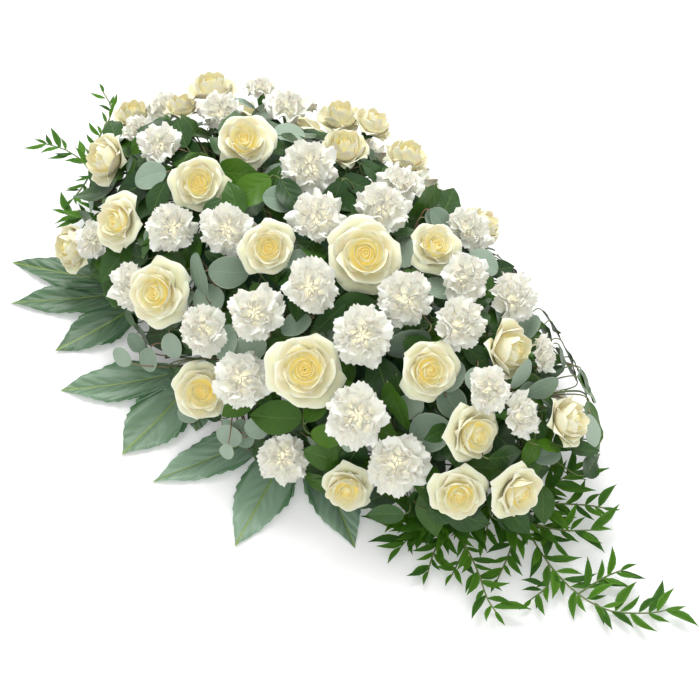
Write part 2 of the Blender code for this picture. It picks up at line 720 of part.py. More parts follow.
def place_leaf(room, name, leaf, start, width, stations):
    """The first way to set a leaf and its stalk that leaves other nodes clear, or None."""
    for blade in leaf_ways(leaf, width, stations):
        if not room.free(name, blade.samples(), LEAF_ROOM):
            continue
        joint = blade.base - blade.run * STALK_BACK - blade.upper * STALK_DROP
        sideways = np.cross(unit(joint - start), (0.0, 0.0, 1.0))
        for bow in STALK_BOWS:
            stalk = [start, (joint + start) / 2 + sideways * bow, joint] if bow else [start, joint]
            if room.free(name, along([*stalk, blade.base]), BRANCH):
                return blade, stalk
    return None


def find_hub(room, name, middle):
    """The foot of a leafy stem and the hub it ends in, towards the middle of its leaves."""
    for share in HUB_SHARES:
        for target in seats(middle):
            foot = foot_for(middle, target)
            hub = foot.mouth + (middle - foot.mouth) * share
            if room.free(name, along([foot.end, hub]), LEAF_STEM, in_foam=True):
                return foot, hub
    raise ValueError("no clear way for " + name)


def lay_leaves(room, name, leaves, width, stations):
    """A leafy stem's foot and hub, and its blades with their stalks."""
    seen = [leaf for leaf in leaves if isinstance(leaf, Leaf)]
    middle = sum(on_mound(leaf.column, leaf.row, HUB_SINK) for leaf in seen) / len(seen)
    foot, hub = find_hub(room, name, middle)
    room.take(name, along([foot.end, hub]), LEAF_STEM)
    placed = []
    for order, leaf in enumerate(leaves):
        down = JOINT_FIRST + JOINT_SPREAD * order / len(leaves)
        start = hub + (foot.mouth - hub) * down
        found = place_leaf(room, name, leaf, start, width, stations)
        if found:
            blade, stalk = found
            room.take(name, blade.samples(), LEAF_ROOM)
            room.take(name, along([*stalk, blade.base]), BRANCH)
            placed.append(found)
    return foot, hub, placed


def new_object(name, solid, collection):
    """An object from vertices and faces."""
    mesh = bpy.data.meshes.new(name)
    mesh.from_pydata([tuple(map(float, vertex)) for vertex in solid[0]], [], solid[1])
    body = bpy.data.objects.new(name, mesh)
    collection.objects.link(body)
    return body


def combine(name, solids, operation, solver, material):
    """The first solid joined with the others, or cut by them, as one plain mesh."""
    scene = bpy.context.scene.collection
    others = bpy.data.collections.new(name + "_others")
    scene.children.link(others)
    for index, solid in enumerate(solids[1:]):
        new_object(f"{name}_{index}", solid, others)
    body = new_object(name, solids[0], scene)
    if len(solids) > 1:
        step = body.modifiers.new("combine", "BOOLEAN")
        step.operation = operation
        step.operand_type = "COLLECTION"
        step.collection = others
        step.solver = solver
        graph = bpy.context.evaluated_depsgraph_get()
        made = bpy.data.meshes.new_from_object(body.evaluated_get(graph))
        body.modifiers.clear()
        drop_scraps(made)
        body.data = made
        made.name = name
    for other in list(others.objects):
        bpy.data.objects.remove(other)
    bpy.data.collections.remove(others)
    body.data.materials.clear()
    body.data.materials.append(material)
    return body


def drop_scraps(mesh):
    """Remove loose scraps that a union leaves."""
    form = bmesh.new()
    form.from_mesh(mesh)
    waiting = set(form.verts)
    while waiting:
        island, edge = set(), [waiting.pop()]
        while edge:
            corner = edge.pop()
            island.add(corner)
            for line in corner.link_edges:
                other = line.other_vert(corner)
                if other in waiting:
                    waiting.discard(other)
                    edge.append(other)
        if len(island) < SCRAP_CORNERS:
            bmesh.ops.delete(form, geom=list(island), context="VERTS")
    form.to_mesh(mesh)
    form.free()


def finish(name, colour, roughness):
    """A plain material."""
    material = bpy.data.materials.new(name)
    material.use_nodes = True
    shader = material.node_tree.nodes["Principled BSDF"]
    shader.inputs["Base Color"].default_value = (*colour, 1.0)
    shader.inputs["Roughness"].default_value = roughness
    shader.inputs["Metallic"].default_value = 0.0
    return material


def clear_scene():
    """Remove every object."""
    for body in list(bpy.data.objects):
        bpy.data.objects.remove(body)


def lay_blooms(room, kinds):
    """Place every head, then run the stems: for each node its name, kind, heads, foot and ways."""
    nodes = []
    for kind in kinds:
        for name, blooms in kind.table.items():
            heads = [head_of(bloom) for bloom in blooms]
            room.heads.extend((name, head) for head in heads)
            nodes.append((name, kind, heads))
    laid = []
    for name, kind, heads in nodes:
        tops = [(head.centre - head.axis * head.radius * STEM_SUNK,
                 head.centre - head.axis * (head.radius * HEAD_BACK + NECK)) for head in heads]
        foot, ways = find_route(room, name, tops, kind.stem)
        for way in ways:
            room.take(name, along(way), kind.stem)
        laid.append((name, kind, heads, foot, ways))
    return laid


def fatsia_solid(middle_spot, lobes):
    """A fan of lobes from one middle, which droops to the ground, and the middle's place."""
    middle = at_height(*middle_spot, FATSIA_MIDDLE)
    tips = [(at_height(column, row, FATSIA_TOP), width / 1000) for column, row, width in lobes]
    tips.sort(key=lambda tip: math.atan2(*(tip[0] - middle)[1::-1]))
    top, faces, outline = [middle], [], [0]

    def place(tip, share, across):
        """Add the point at a share of a lobe's length and a distance across it."""
        way = tip - middle
        side = unit(np.array((-way[1], way[0], 0.0)))
        fall = max(0.0, 1.0 - share / FATSIA_FLAT) ** 2
        rise = FATSIA_FOLD * min(1.0, abs(across) * 2 / FATSIA_WIDTH) * min(1.0, share * 3)
        spot = middle + way * share + side * across
        spot[2] = FATSIA_TOP + (FATSIA_MIDDLE - FATSIA_TOP) * fall + rise
        top.append(spot)
        return len(top) - 1

    notch = place(tips[0][0], FATSIA_NOTCH, -tips[0][1] * FATSIA_NOTCH_HALF)
    outline.append(notch)
    for index, (tip, width) in enumerate(tips):
        right = [notch] + [place(tip, share, -width * half) for share, half in FATSIA_STATIONS]
        rib = [place(tip, share, 0.0) for share, _ in FATSIA_STATIONS[:2]]
        end = place(tip, 1.0, 0.0)
        left = [place(tip, share, width * half) for share, half in FATSIA_STATIONS]
        if index + 1 < len(tips):
            between = (tip + tips[index + 1][0]) / 2
            notch = place(between, FATSIA_NOTCH, 0.0)
        else:
            notch = place(tip, FATSIA_NOTCH, width * FATSIA_NOTCH_HALF)
        left = [notch] + left
        faces += [(0, right[0], rib[0]), (0, rib[0], left[0])]
        faces += [(right[0], right[1], rib[0]), (rib[0], left[1], left[0])]
        faces += [(right[1], right[2], rib[0]), (right[2], rib[1], rib[0])]
        faces += [(rib[0], left[2], left[1]), (rib[0], rib[1], left[2])]
        faces += [(right[2], right[3], rib[1]), (rib[1], left[3], left[2])]
        faces += [(right[3], end, rib[1]), (rib[1], end, left[3])]
        outline += [*right[1:], end, *left[::-1]]
    return shell(top, faces, outline, np.array((0.0, 0.0, -FATSIA_BLADE))), middle


def lay_fatsia(room, name, middle_spot, lobes):
    """A fatsia blade, its foot, and its stalk's path over the tray's rim into the foam."""
    blade, middle = fatsia_solid(middle_spot, lobes)
    vertices, faces = blade
    upper = [face for face in faces if max(face) < len(vertices) // 2]
    for first, second, third in upper:
        spread = [along([point, vertices[third]]) for point in along([vertices[first], vertices[second]])]
        room.take(name, np.vstack(spread), LEAF_ROOM)
    collar = middle + unit(-middle) * FATSIA_COLLAR
    collar[2] = FATSIA_COLLAR_HEIGHT
    root = middle - np.array((0.0, 0.0, FATSIA_BLADE / 2))
    foot, ways = find_route(room, name, [(root, collar)], FATSIA_STEM)
    for way in ways:
        room.take(name, along(way), FATSIA_STEM)
    return blade, foot, [*ways[0], *ways[1][1:]]


def turned(vector, angle):
    """A vector turned about Z."""
    cosine, sine = math.cos(angle), math.sin(angle)
    return np.array((vector[0] * cosine - vector[1] * sine,
                     vector[0] * sine + vector[1] * cosine, vector[2]))


def ruscus_ways(place, way, side, length):
    """The ways to set a ruscus leaf at a place on its stem, the fullest first."""
    for shrink, rise in itertools.product(RUSCUS_SHRINKS, RUSCUS_RISES):
        for angle in RUSCUS_ANGLES:
            run = unit(turned(unit(way * (1, 1, 0.3)), side * angle) + (0.0, 0.0, rise))
            upper = unit(np.cross(side_axes(run)[0], run))
            upper = upper if upper[2] > 0 else -upper
            size = length * shrink
            yield Blade(place, run, upper, size, size * RUSCUS_WIDTH, RUSCUS_SHAPE)


def ruscus_leaf(room, name, place, way, side, length):
    """The first way to set a ruscus leaf that leaves every other piece clear, or None."""
    for blade in ruscus_ways(place, way, side, length):
        points = blade.samples()[3:]
        if room.free(name, points, LEAF_ROOM) and room.apart(points, LEAF_ROOM):
            return blade
    return None


def ruscus_path(room, name, spots, starts):
    """A stem's path through its spots, raised or lowered until it is clear."""
    for shift in RUSCUS_SHIFTS:
        path = [at_height(column, row, (height + shift) / 1000) for column, row, height in spots]
        path[0] = starts.get(spots[0][:2], path[0])
        if room.free(name, along(path), BRANCH):
            return path
    raise ValueError("no clear way for " + name)


def ruscus_leaves(room, name, path, length, spacing, draw):
    """Alternate leaves along a path, and one at its tip."""
    blades, side, ahead = [], 1, RUSCUS_FIRST
    for start, end in zip(path, path[1:]):
        span = float(np.linalg.norm(end - start))
        while ahead < span:
            size = length * draw.uniform(*RUSCUS_SIZES)
            place = start + (end - start) * ahead / span
            blade = ruscus_leaf(room, name, place, unit(end - start), side, size)
            if blade:
                blades.append(blade)
                room.take(name, blade.samples()[3:], LEAF_ROOM)
            side = -side
            ahead += spacing * draw.uniform(*RUSCUS_SPACINGS)
        ahead -= span
    tip = unit(path[-1] - path[-2])
    last = Blade(path[-1] - tip * TIP_SUNK, tip, side_axes(tip)[1], length, length * RUSCUS_WIDTH,
                 RUSCUS_SHAPE)
    return blades + [last] if room.free(name, last.samples(), LEAF_ROOM) else blades


def lay_ruscus(room, name, stems):
    """A ruscus stem's foot, the paths of it and its side stems, and its leaves."""
    draw = np.random.default_rng(int(name[-2:]))
    paths, blades, starts = [], [], {}
    for spots, length, spacing in stems:
        path = ruscus_path(room, name, spots, starts)
        room.take(name, along(path), BRANCH)
        for (column, row, _), place in zip(spots, path):
            starts.setdefault((column, row), place)
        if not paths:
            foot, ways = find_route(room, name, [(path[1], path[0])], RUSCUS_STEM)
            room.take(name, along(ways[0]), RUSCUS_STEM)
        blades += ruscus_leaves(room, name, path, length / 1000, spacing / 1000, draw)
        paths.append(path if paths else [*ways[0], *path])
    return foot, paths, blades


def rounded(size, corner, height):
    """A ring of points round a rectangle with round corners."""
    points = []
    for quarter in range(4):
        middle = [(size[axis] / 2 - corner) * (1 if quarter in near else -1)
                  for axis, near in enumerate(((0, 3), (0, 1)))]
        for index in range(CORNER_POINTS):
            angle = math.pi / 2 * (quarter + index / (CORNER_POINTS - 1))
            points.append(np.array((middle[0] + corner * math.cos(angle),
                                    middle[1] + corner * math.sin(angle), height)))
    return points


def stacked(levels):
    """A closed form through rings of like counts, lowest first."""
    vertices = [point for level in levels for point in level]
    count = len(levels[0])
    rows = [range(count * index, count * (index + 1)) for index in range(len(levels))]
    faces = []
    for low, high in zip(rows, rows[1:]):
        bridge(faces, low, high)
    return vertices, faces + [tuple(rows[0])[::-1], tuple(rows[-1])]


def tray_solid():
    """The open tray."""
    inner = tuple(size - 2 * TRAY_WALL for size in TRAY_SIZE)
    tight = TRAY_CORNER - TRAY_WALL
    return stacked([rounded(TRAY_SIZE, TRAY_CORNER, 0.0), rounded(TRAY_SIZE, TRAY_CORNER, TRAY_HEIGHT),
                    rounded(inner, tight, TRAY_HEIGHT), rounded(inner, tight, TRAY_WALL)])


def foam_solid():
    """The foam block, before its holes."""
    corner = TRAY_CORNER - TRAY_WALL - SEAT_GAP
    top = tuple(size - 2 * FOAM_EDGE for size in FOAM_SIZE)
    return stacked([rounded(FOAM_SIZE, corner, TRAY_WALL + SEAT_GAP),
                    rounded(FOAM_SIZE, corner, FOAM_TOP - FOAM_EDGE),
                    rounded(top, corner * 0.5, FOAM_TOP)])


def hole(foot, radius, sides):
    """What a stem's hole takes out of the foam."""
    outward = unit(foot.mouth - foot.end)
    return tube([foot.end - outward * HOLE_FLOOR, foot.mouth + outward * HOLE_RUN_OUT],
                radius + HOLE_GAP, sides)


def take_tray(room):
    """Mark the tray's rim and sides as taken."""
    for height in np.linspace(TRAY_WALL, TRAY_HEIGHT, TRAY_LEVELS):
        ring = rounded(TRAY_SIZE, TRAY_CORNER, float(height))
        room.take("tray", along([*ring, ring[0]]), TRAY_WALL)


@dataclass(frozen=True)
class BloomKind:
    """What the heads of one kind share: their table, rings, stem and finish."""
    table: dict
    rings: tuple
    stem: float
    finish: object


def build_blooms(room):
    """Roses and carnations on their stems; returns the holes that they stand in."""
    kinds = (BloomKind(ROSES, ROSE_RINGS, ROSE_STEM, finish("cream_petal", (0.88, 0.82, 0.58), 0.55)),
             BloomKind(CARNATIONS, CARNATION_RINGS, CARNATION_STEM,
                       finish("white_petal", (0.90, 0.90, 0.86), 0.70)))
    holes = []
    for order, (name, kind, heads, foot, ways) in enumerate(lay_blooms(room, kinds)):
        solids = [tube([*ways[0], *ways[1][1:]], kind.stem, STEM_SIDES)]
        solids += [tube(list(way), kind.stem, STEM_SIDES) for way in ways[2:]]
        solids += [head_solid(head, kind.rings, order + place) for place, head in enumerate(heads)]
        combine(name, solids, "UNION", "MANIFOLD", kind.finish)
        holes.append(hole(foot, kind.stem, STEM_SIDES))
    return holes


def build_fatsia(room):
    """The three fatsia leaves; returns their stalks' holes."""
    material = finish("fatsia_green", (0.05, 0.15, 0.05), 0.35)
    holes = []
    for name, (middle_spot, lobes) in FATSIA.items():
        blade, foot, path = lay_fatsia(room, name, middle_spot, lobes)
        combine(name, [blade, tube(path, FATSIA_STEM, STEM_SIDES)], "UNION", "MANIFOLD", material)
        holes.append(hole(foot, FATSIA_STEM, STEM_SIDES))
    return holes


def build_ruscus(room):
    """The trailing ruscus stems; returns their holes."""
    material = finish("ruscus_green", (0.07, 0.20, 0.04), 0.45)
    holes = []
    for name, stems in RUSCUS.items():
        foot, paths, blades = lay_ruscus(room, name, stems)
        solids = [tube(path, RUSCUS_STEM, STEM_SIDES, RUSCUS_TAPER) for path in paths]
        combine(name, [*solids, *(blade.solid() for blade in blades)], "UNION", "MANIFOLD", material)
        holes.append(hole(foot, RUSCUS_STEM, STEM_SIDES))
    return holes


def build_leaves(room, table, width, stations, material):
    """The leafy stems of one kind; returns their holes."""
    holes = []
    for name, leaves in table.items():
        foot, hub, placed = lay_leaves(room, name, leaves, width, stations)
        solids = [tube([foot.end, hub], LEAF_STEM, LEAF_STEM_SIDES)]
        solids += [blade.solid(stalk) for blade, stalk in placed]
        combine(name, solids, "UNION", "MANIFOLD", material)
        holes.append(hole(foot, LEAF_STEM, LEAF_STEM_SIDES))
    return holes


def main():
    """Build the spray."""
    clear_scene()
    room = Room()
    take_tray(room)
    holes = build_blooms(room) + build_fatsia(room) + build_ruscus(room)
    holes += build_leaves(room, SALAL, SALAL_WIDTH, SALAL_SHAPE,
                          finish("salal_green", (0.06, 0.18, 0.03), 0.35))
    holes += build_leaves(room, EUCALYPTUS, EUCALYPTUS_WIDTH, EUCALYPTUS_SHAPE,
                          finish("eucalyptus_grey", (0.22, 0.32, 0.25), 0.60))
    combine("tray", [tray_solid()], "UNION", "MANIFOLD", finish("tray", (0.03, 0.09, 0.04), 0.40))
    combine("foam", [foam_solid(), *holes], "DIFFERENCE", "EXACT",
            finish("foam", (0.03, 0.10, 0.05), 0.95))


main()
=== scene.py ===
"""A casket spray of cream roses, white carnations and foliage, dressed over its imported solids.

The layout repeats the solids' own rules, so that each head, stem and leaf lies where its node does.
Petals, leaves and stems are then repeated over that layout with geometry nodes.
"""

import itertools
import json
import logging
import math
from collections.abc import Iterator
from dataclasses import dataclass, field, replace
from enum import Enum
from functools import cache

import bpy
import numpy as np
from mathutils import Matrix

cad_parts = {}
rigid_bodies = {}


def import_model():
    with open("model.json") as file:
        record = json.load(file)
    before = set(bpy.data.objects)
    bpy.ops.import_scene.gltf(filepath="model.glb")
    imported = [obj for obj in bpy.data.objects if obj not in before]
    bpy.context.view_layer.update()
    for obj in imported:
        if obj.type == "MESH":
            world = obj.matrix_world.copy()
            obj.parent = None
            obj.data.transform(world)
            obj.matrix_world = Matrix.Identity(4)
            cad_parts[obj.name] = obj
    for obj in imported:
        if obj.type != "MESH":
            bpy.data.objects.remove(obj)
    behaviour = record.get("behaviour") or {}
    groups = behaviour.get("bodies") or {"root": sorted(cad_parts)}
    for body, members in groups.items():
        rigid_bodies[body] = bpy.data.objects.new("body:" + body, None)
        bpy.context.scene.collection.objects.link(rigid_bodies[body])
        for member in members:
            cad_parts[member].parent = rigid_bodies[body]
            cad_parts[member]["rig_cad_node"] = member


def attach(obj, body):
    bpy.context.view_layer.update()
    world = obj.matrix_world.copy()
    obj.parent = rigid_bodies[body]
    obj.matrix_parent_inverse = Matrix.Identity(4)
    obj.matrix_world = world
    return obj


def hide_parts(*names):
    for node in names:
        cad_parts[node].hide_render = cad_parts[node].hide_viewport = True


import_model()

Vector = np.ndarray
Socket = bpy.types.NodeSocket
Material = bpy.types.Material

LOG = logging.getLogger("spray")
UP = np.array((0.0, 0.0, 1.0))
GOLDEN_TURN = math.pi * (3.0 - math.sqrt(5.0))


def unit(vector: Vector) -> Vector:
    """The vector at length one."""
    return vector / np.linalg.norm(vector)


def side_axes(axis: Vector) -> tuple[Vector, Vector]:
    """Two directions square to an axis and to each other.

    Args:
        axis: A direction of length one.

    Returns:
        The two directions.
    """
    side = np.cross(axis, UP)
    if np.linalg.norm(side) < 0.05:
        side = np.array((1.0, 0.0, 0.0))
    side = unit(side - axis * (side @ axis))
    return side, np.cross(axis, side)


def along(points: list, step: float = 0.0065) -> Vector:
    """Points at even steps along a path.

    Args:
        points: The path's corners.
        step: The longest gap between two points.

    Returns:
        The points, a row each.
    """
    found = [np.array(points[0])]
    for start, end in zip(points, points[1:]):
        count = max(1, math.ceil(np.linalg.norm(end - start) / step))
        found.extend(start + (end - start) * share / count for share in range(1, count + 1))
    return np.array(found)


def turned(vector: Vector, angle: float) -> Vector:
    """The vector turned about Z."""
    cosine, sine = math.cos(angle), math.sin(angle)
    return np.array((vector[0] * cosine - vector[1] * sine,
                     vector[0] * sine + vector[1] * cosine, vector[2]))


@dataclass(frozen=True)
class FrontQuarter:
    """The view that spots are given in, by a column and a row in small steps."""
    turn: float = math.radians(43)
    lift: float = math.radians(52)
    distance: float = 2.6
    aim: tuple = (0.020, 0.008, 0.0)
    step: float = 0.00115
    middle: float = 350

    def axes(self) -> tuple[Vector, Vector, Vector, Vector]:
        """Right, up and forward, and the eye's place."""
        back = np.array((math.sin(self.turn) * math.cos(self.lift),
                         -math.cos(self.turn) * math.cos(self.lift), math.sin(self.lift)))
        right = np.array((math.cos(self.turn), math.sin(self.turn), 0.0))
        return right, np.cross(right, -back), -back, np.array(self.aim) + back * self.distance

    def sight(self, column: float, row: float) -> Vector:
        """The line of sight through a spot."""
        across = RIGHT * (column - self.middle) + VIEW_UP * (self.middle - row)
        return unit(FORWARD * self.distance + across * self.step)

    def at_height(self, column: float, row: float, height: float) -> Vector:
        """Where the line of sight through a spot meets a level."""
        line = self.sight(column, row)
        return EYE + line * (height - EYE[2]) / line[2]


VIEW = FrontQuarter()
RIGHT, VIEW_UP, FORWARD, EYE = VIEW.axes()


@dataclass(frozen=True)
class Mound:
    """Half an ellipsoid that the blooms' centres lie on."""
    centre: tuple = (0.0, 0.0, 0.05)
    reach: tuple = (0.36, 0.19, 0.165)
    lowest: float = 0.055

    def at(self, column: float, row: float, sink: float = 0.0) -> Vector:
        """Where a spot lies on the mound.

        Args:
            column: The spot's column.
            row: The spot's row.
            sink: How much smaller the mound is taken.

        Returns:
            The place, not below the lowest bloom.
        """
        reach = np.array(self.reach) - sink
        line = VIEW.sight(column, row)
        start = (EYE - np.array(self.centre)) / reach
        slope = line / reach
        square, half = slope @ slope, slope @ start
        inner = half * half - square * (start @ start - 1.0)
        place = EYE + line * (-half - math.sqrt(max(inner, 0.0))) / square
        lowest = self.lowest - sink * 0.5
        return place if place[2] > lowest else VIEW.at_height(column, row, lowest)

    def normal(self, place: Vector) -> Vector:
        """The way out of the mound at a place."""
        return unit((place - np.array(self.centre)) / np.array(self.reach) ** 2)


MOUND = Mound()
CLOSED_RIGHT, CLOSED_UP = 0.69, 0.59


@dataclass(frozen=True)
class Bloom:
    """A head seen at a spot: radius and push back in mm, and how far it faces right and up."""
    column: float
    row: float
    radius: float
    right: float = 0.0
    up: float = 0.0
    back: float = 0.0

    def head(self) -> "Head":
        """The head in place."""
        sight = VIEW.sight(self.column, self.row)
        centre = MOUND.at(self.column, self.row) + sight * self.back / 1000
        toward = math.sqrt(max(1.0 - self.right ** 2 - self.up ** 2, 0.06))
        axis = unit(RIGHT * self.right + VIEW_UP * self.up - FORWARD * toward)
        closed = abs(self.right) > CLOSED_RIGHT or self.up > CLOSED_UP
        return Head(centre, axis, self.radius / 1000, closed=closed)


@dataclass(frozen=True)
class HiddenBloom:
    """A head on the far side: its place and radius in mm."""
    x: float
    y: float
    z: float
    radius: float

    def head(self) -> "Head":
        """The head in place."""
        centre = np.array((self.x, self.y, self.z)) / 1000
        return Head(centre, unit(MOUND.normal(centre) + UP * 0.35), self.radius / 1000)


@dataclass
class Head:
    """A bloom in place: centre, facing and radius."""
    centre: Vector
    axis: Vector
    radius: float
    thick: float = 0.56
    closed: bool = False

    def near(self, points: Vector, margin: float) -> bool:
        """Whether any of the points lies near the head.

        Args:
            points: The points, a row each.
            margin: How near.

        Returns:
            True where one does.
        """
        offset = points - self.centre
        height = offset @ self.axis
        around = (offset * offset).sum(axis=1) - height * height
        wide, thick = self.radius + margin, self.radius * self.thick + margin
        return bool((around / wide ** 2 + (height / thick) ** 2 < 1.0).any())

    def top(self) -> tuple[Vector, Vector]:
        """Where its stem ends inside it, and the end of the straight neck below."""
        return (self.centre - self.axis * self.radius * 0.30,
                self.centre - self.axis * (self.radius * 0.50 + 0.020))


@dataclass(frozen=True)
class Leaf:
    """A leaf seen at a spot: the way it points, in degrees from the right, and its length in mm."""
    column: float
    row: float
    points: float
    length: float
    sink: float = 8.0
    bright: float = 0.0

    def seat(self, sink: float) -> tuple[Vector, Vector, Vector]:
        """How the leaf lies.

        Args:
            sink: How far it is sunk into the mound.

        Returns:
            Its middle, its upper side and a way that it runs.
        """
        angle = math.radians(self.points)
        middle = MOUND.at(self.column, self.row, sink)
        run = RIGHT * math.cos(angle) + VIEW_UP * math.sin(angle)
        return middle, unit(MOUND.normal(middle) - FORWARD), run


@dataclass(frozen=True)
class RimLeaf:
    """A leaf of the collar: its middle in mm, the way it points in plan, and its length."""
    x: float
    y: float
    z: float
    points: float
    length: float
    sink: float = 0.0
    bright: float = 0.0

    def seat(self, sink: float) -> tuple[Vector, Vector, Vector]:
        """The leaf's middle, its upper side and a way that it runs, when it is sunk so far."""
        angle = math.radians(self.points)
        middle = np.array((self.x, self.y, self.z)) / 1000
        middle[:2] -= MOUND.normal(middle)[:2] * sink
        return middle, unit(MOUND.normal(middle) + UP * 1.2), np.array(
            (math.cos(angle), math.sin(angle), 0.0))


@dataclass(frozen=True)
class FillLeaf:
    """A leaf of the under-layer: its spot on the mound, the way it points, and its length in mm."""
    spot: tuple
    points: float
    length: float
    bright: float = 0.0
    sink: float = 8.0

    def seat(self, sink: float) -> tuple[Vector, Vector, Vector]:
        """The leaf's middle, its upper side and a way that it runs, when it is sunk so far."""
        angle = math.radians(self.points)
        place = np.array(self.spot)
        upper = MOUND.normal(place)
        run = np.array((math.cos(angle), math.sin(angle), 0.05))
        return place - upper * sink, unit(upper + UP * 0.3), run


AnyLeaf = Leaf | RimLeaf | FillLeaf


ROSES = {
    "rose_01": [Bloom(134, 118, 25, -0.1, 0.7, 50), Bloom(109, 160, 31, -0.75, 0.15)],
    "rose_02": [Bloom(182, 110, 23, 0.1, 0.85, 5), Bloom(212, 93, 29, 0.0, 0.8, 5)],
    "rose_03": [Bloom(119, 222, 34, -0.55, 0.05), Bloom(77, 247, 29, -0.8, -0.1)],
    "rose_04": [Bloom(199, 183, 34)],
    "rose_05": [Bloom(244, 142, 36, 0.05, 0.3)],
    "rose_06": [Bloom(158, 293, 39, -0.35, -0.05, -5)],
    "rose_07": [Bloom(203, 392, 36, -0.1, -0.1)],
    "rose_08": [Bloom(268, 249, 32, 0.0, 0.05)],
    "rose_09": [Bloom(365, 255, 43, 0.03, 0.08, 5)],
    "rose_10": [Bloom(305, 369, 43)],
    "rose_11": [Bloom(428, 370, 34, 0.25, -0.1)],
    "rose_12": [Bloom(347, 488, 30, -0.1, -0.5)],
    "rose_13": [Bloom(473, 433, 35, 0.55, -0.3, 9)],
    "rose_14": [Bloom(459, 493, 32, 0.0, -0.4), Bloom(517, 491, 34, 0.55, -0.45)],
    "rose_15": [Bloom(564, 421, 29, 0.8, 0.2, 14)],
    "rose_16": [Bloom(505, 350, 32, 0.75, 0.0, 4)],
    "rose_17": [Bloom(434, 247, 31, 0.25, 0.35)],
    "rose_18": [Bloom(480, 227, 25, 0.7, 0.6)],
    "rose_19": [Bloom(405, 161, 28, 0.4, 0.75), Bloom(345, 152, 28, 0.0, 0.65)],
    "rose_20": [Bloom(341, 121, 28, 0.0, 0.8, 10), Bloom(371, 127, 25, 0.5, 0.7, -8)],
    "rose_21": [HiddenBloom(-290, 145, 65, 30), HiddenBloom(-215, 180, 62, 30)],
    "rose_22": [HiddenBloom(130, 145, 62, 29), HiddenBloom(205, 105, 60, 29)],
}

CARNATIONS = {
    "carnation_01": [Bloom(166, 108, 28, 0.0, 0.8, 40), Bloom(138, 130, 21, -0.3, 0.5)],
    "carnation_02": [Bloom(219, 111, 30, 0.1, 0.5, -34), Bloom(160, 145, 28, -0.1, 0.2)],
    "carnation_03": [Bloom(93, 241, 25, -0.3, 0.0), Bloom(133, 286, 32, -0.5, 0.0, 10)],
    "carnation_04": [Bloom(172, 227, 32), Bloom(227, 230, 33)],
    "carnation_05": [Bloom(202, 329, 32, -0.5, -0.1), Bloom(242, 379, 34)],
    "carnation_06": [Bloom(255, 313, 33), Bloom(311, 287, 34, back=-5)],
    "carnation_07": [Bloom(318, 218, 35, 0.0, 0.4, 5)],
    "carnation_08": [Bloom(406, 299, 34, 0.25, 0.0, 5)],
    "carnation_09": [Bloom(362, 335, 36, back=-6)],
    "carnation_10": [Bloom(357, 414, 36, 0.0, -0.05, -8)],
    "carnation_11": [Bloom(283, 457, 32, -0.05, -0.2), Bloom(396, 464, 38, 0.0, -0.3, 12)],
    "carnation_12": [Bloom(490, 390, 28, 0.3, 0.0, -16), Bloom(522, 416, 28, 0.8, 0.0, 8)],
    "carnation_13": [Bloom(542, 355, 24, 0.9, 0.15, 14), Bloom(513, 298, 34, 0.7, 0.1)],
    "carnation_14": [Bloom(460, 324, 34, 0.6, 0.0, -6)],
    "carnation_15": [Bloom(466, 278, 31, 0.55, 0.1), Bloom(469, 230, 30, 0.45, 0.35)],
    "carnation_16": [Bloom(382, 208, 34, 0.15, 0.45), Bloom(402, 185, 29, 0.25, 0.75)],
    "carnation_17": [Bloom(309, 166, 34, 0.0, 0.15)],
    "carnation_18": [Bloom(289, 107, 33, 0.05, 0.75, -8), Bloom(261, 89, 24, 0.0, 0.88, 14)],
    "carnation_19": [HiddenBloom(-135, 203, 62, 31), HiddenBloom(-50, 208, 62, 32)],
    "carnation_20": [HiddenBloom(40, 180, 60, 31), HiddenBloom(275, 68, 58, 28)],
}

SALAL = {
    "salal_01": [
        Leaf(137, 185, 200, 60), Leaf(158, 200, 250, 45), Leaf(236, 172, -20, 55, bright=0.8),
        Leaf(248, 191, 215, 58, bright=1.0), Leaf(272, 131, -50, 40), Leaf(283, 148, 0, 32),
        Leaf(292, 196, -60, 48), Leaf(112, 130, 120, 45), RimLeaf(-235, 45, 45, 160, 66),
        RimLeaf(-185, 112, 42, 120, 66), RimLeaf(-235, -40, 45, 200, 64)],
    "salal_02": [
        Leaf(362, 185, 0, 50), Leaf(376, 168, 30, 46), Leaf(423, 209, 240, 60, bright=0.45),
        Leaf(449, 200, 60, 48, bright=0.15), Leaf(440, 196, -20, 26), Leaf(500, 268, 20, 40),
        Leaf(335, 200, 250, 44), RimLeaf(-10, 130, 42, 90, 68), RimLeaf(-100, 130, 42, 98, 66),
        RimLeaf(80, 125, 42, 80, 68)],
    "salal_03": [
        Leaf(274, 315, -60, 42, 2, bright=0.9), Leaf(357, 307, 0, 50), Leaf(331, 316, 45, 45),
        Leaf(275, 416, 180, 62, bright=0.5), Leaf(318, 404, 60, 46, bright=0.6),
        Leaf(330, 435, 0, 42, bright=1.0), Leaf(225, 262, -30, 50),
        RimLeaf(-95, -115, 50, -100, 62)],
    "salal_04": [
        Leaf(396, 408, -75, 62, bright=0.5), Leaf(353, 457, 240, 50),
        Leaf(428, 484, -65, 52, bright=0.6), Leaf(385, 515, 190, 42), Leaf(380, 498, 200, 48),
        Leaf(412, 505, -100, 55), Leaf(432, 512, -80, 55, bright=0.4),
        RimLeaf(95, -118, 50, -80, 64), RimLeaf(0, -120, 50, -90, 62),
        RimLeaf(190, -95, 45, -50, 62)],
    "salal_05": [
        Leaf(485, 349, 50, 50), Leaf(487, 364, -10, 54), Leaf(482, 466, 0, 58, bright=0.4),
        Leaf(541, 437, 45, 42, bright=1.0), Leaf(530, 453, 250, 32, bright=1.0),
        Leaf(550, 446, -5, 36, bright=0.8), Leaf(500, 440, -40, 46), Leaf(552, 372, 30, 38),
        RimLeaf(225, 30, 45, 15, 66), RimLeaf(170, 110, 42, 55, 66)],
}

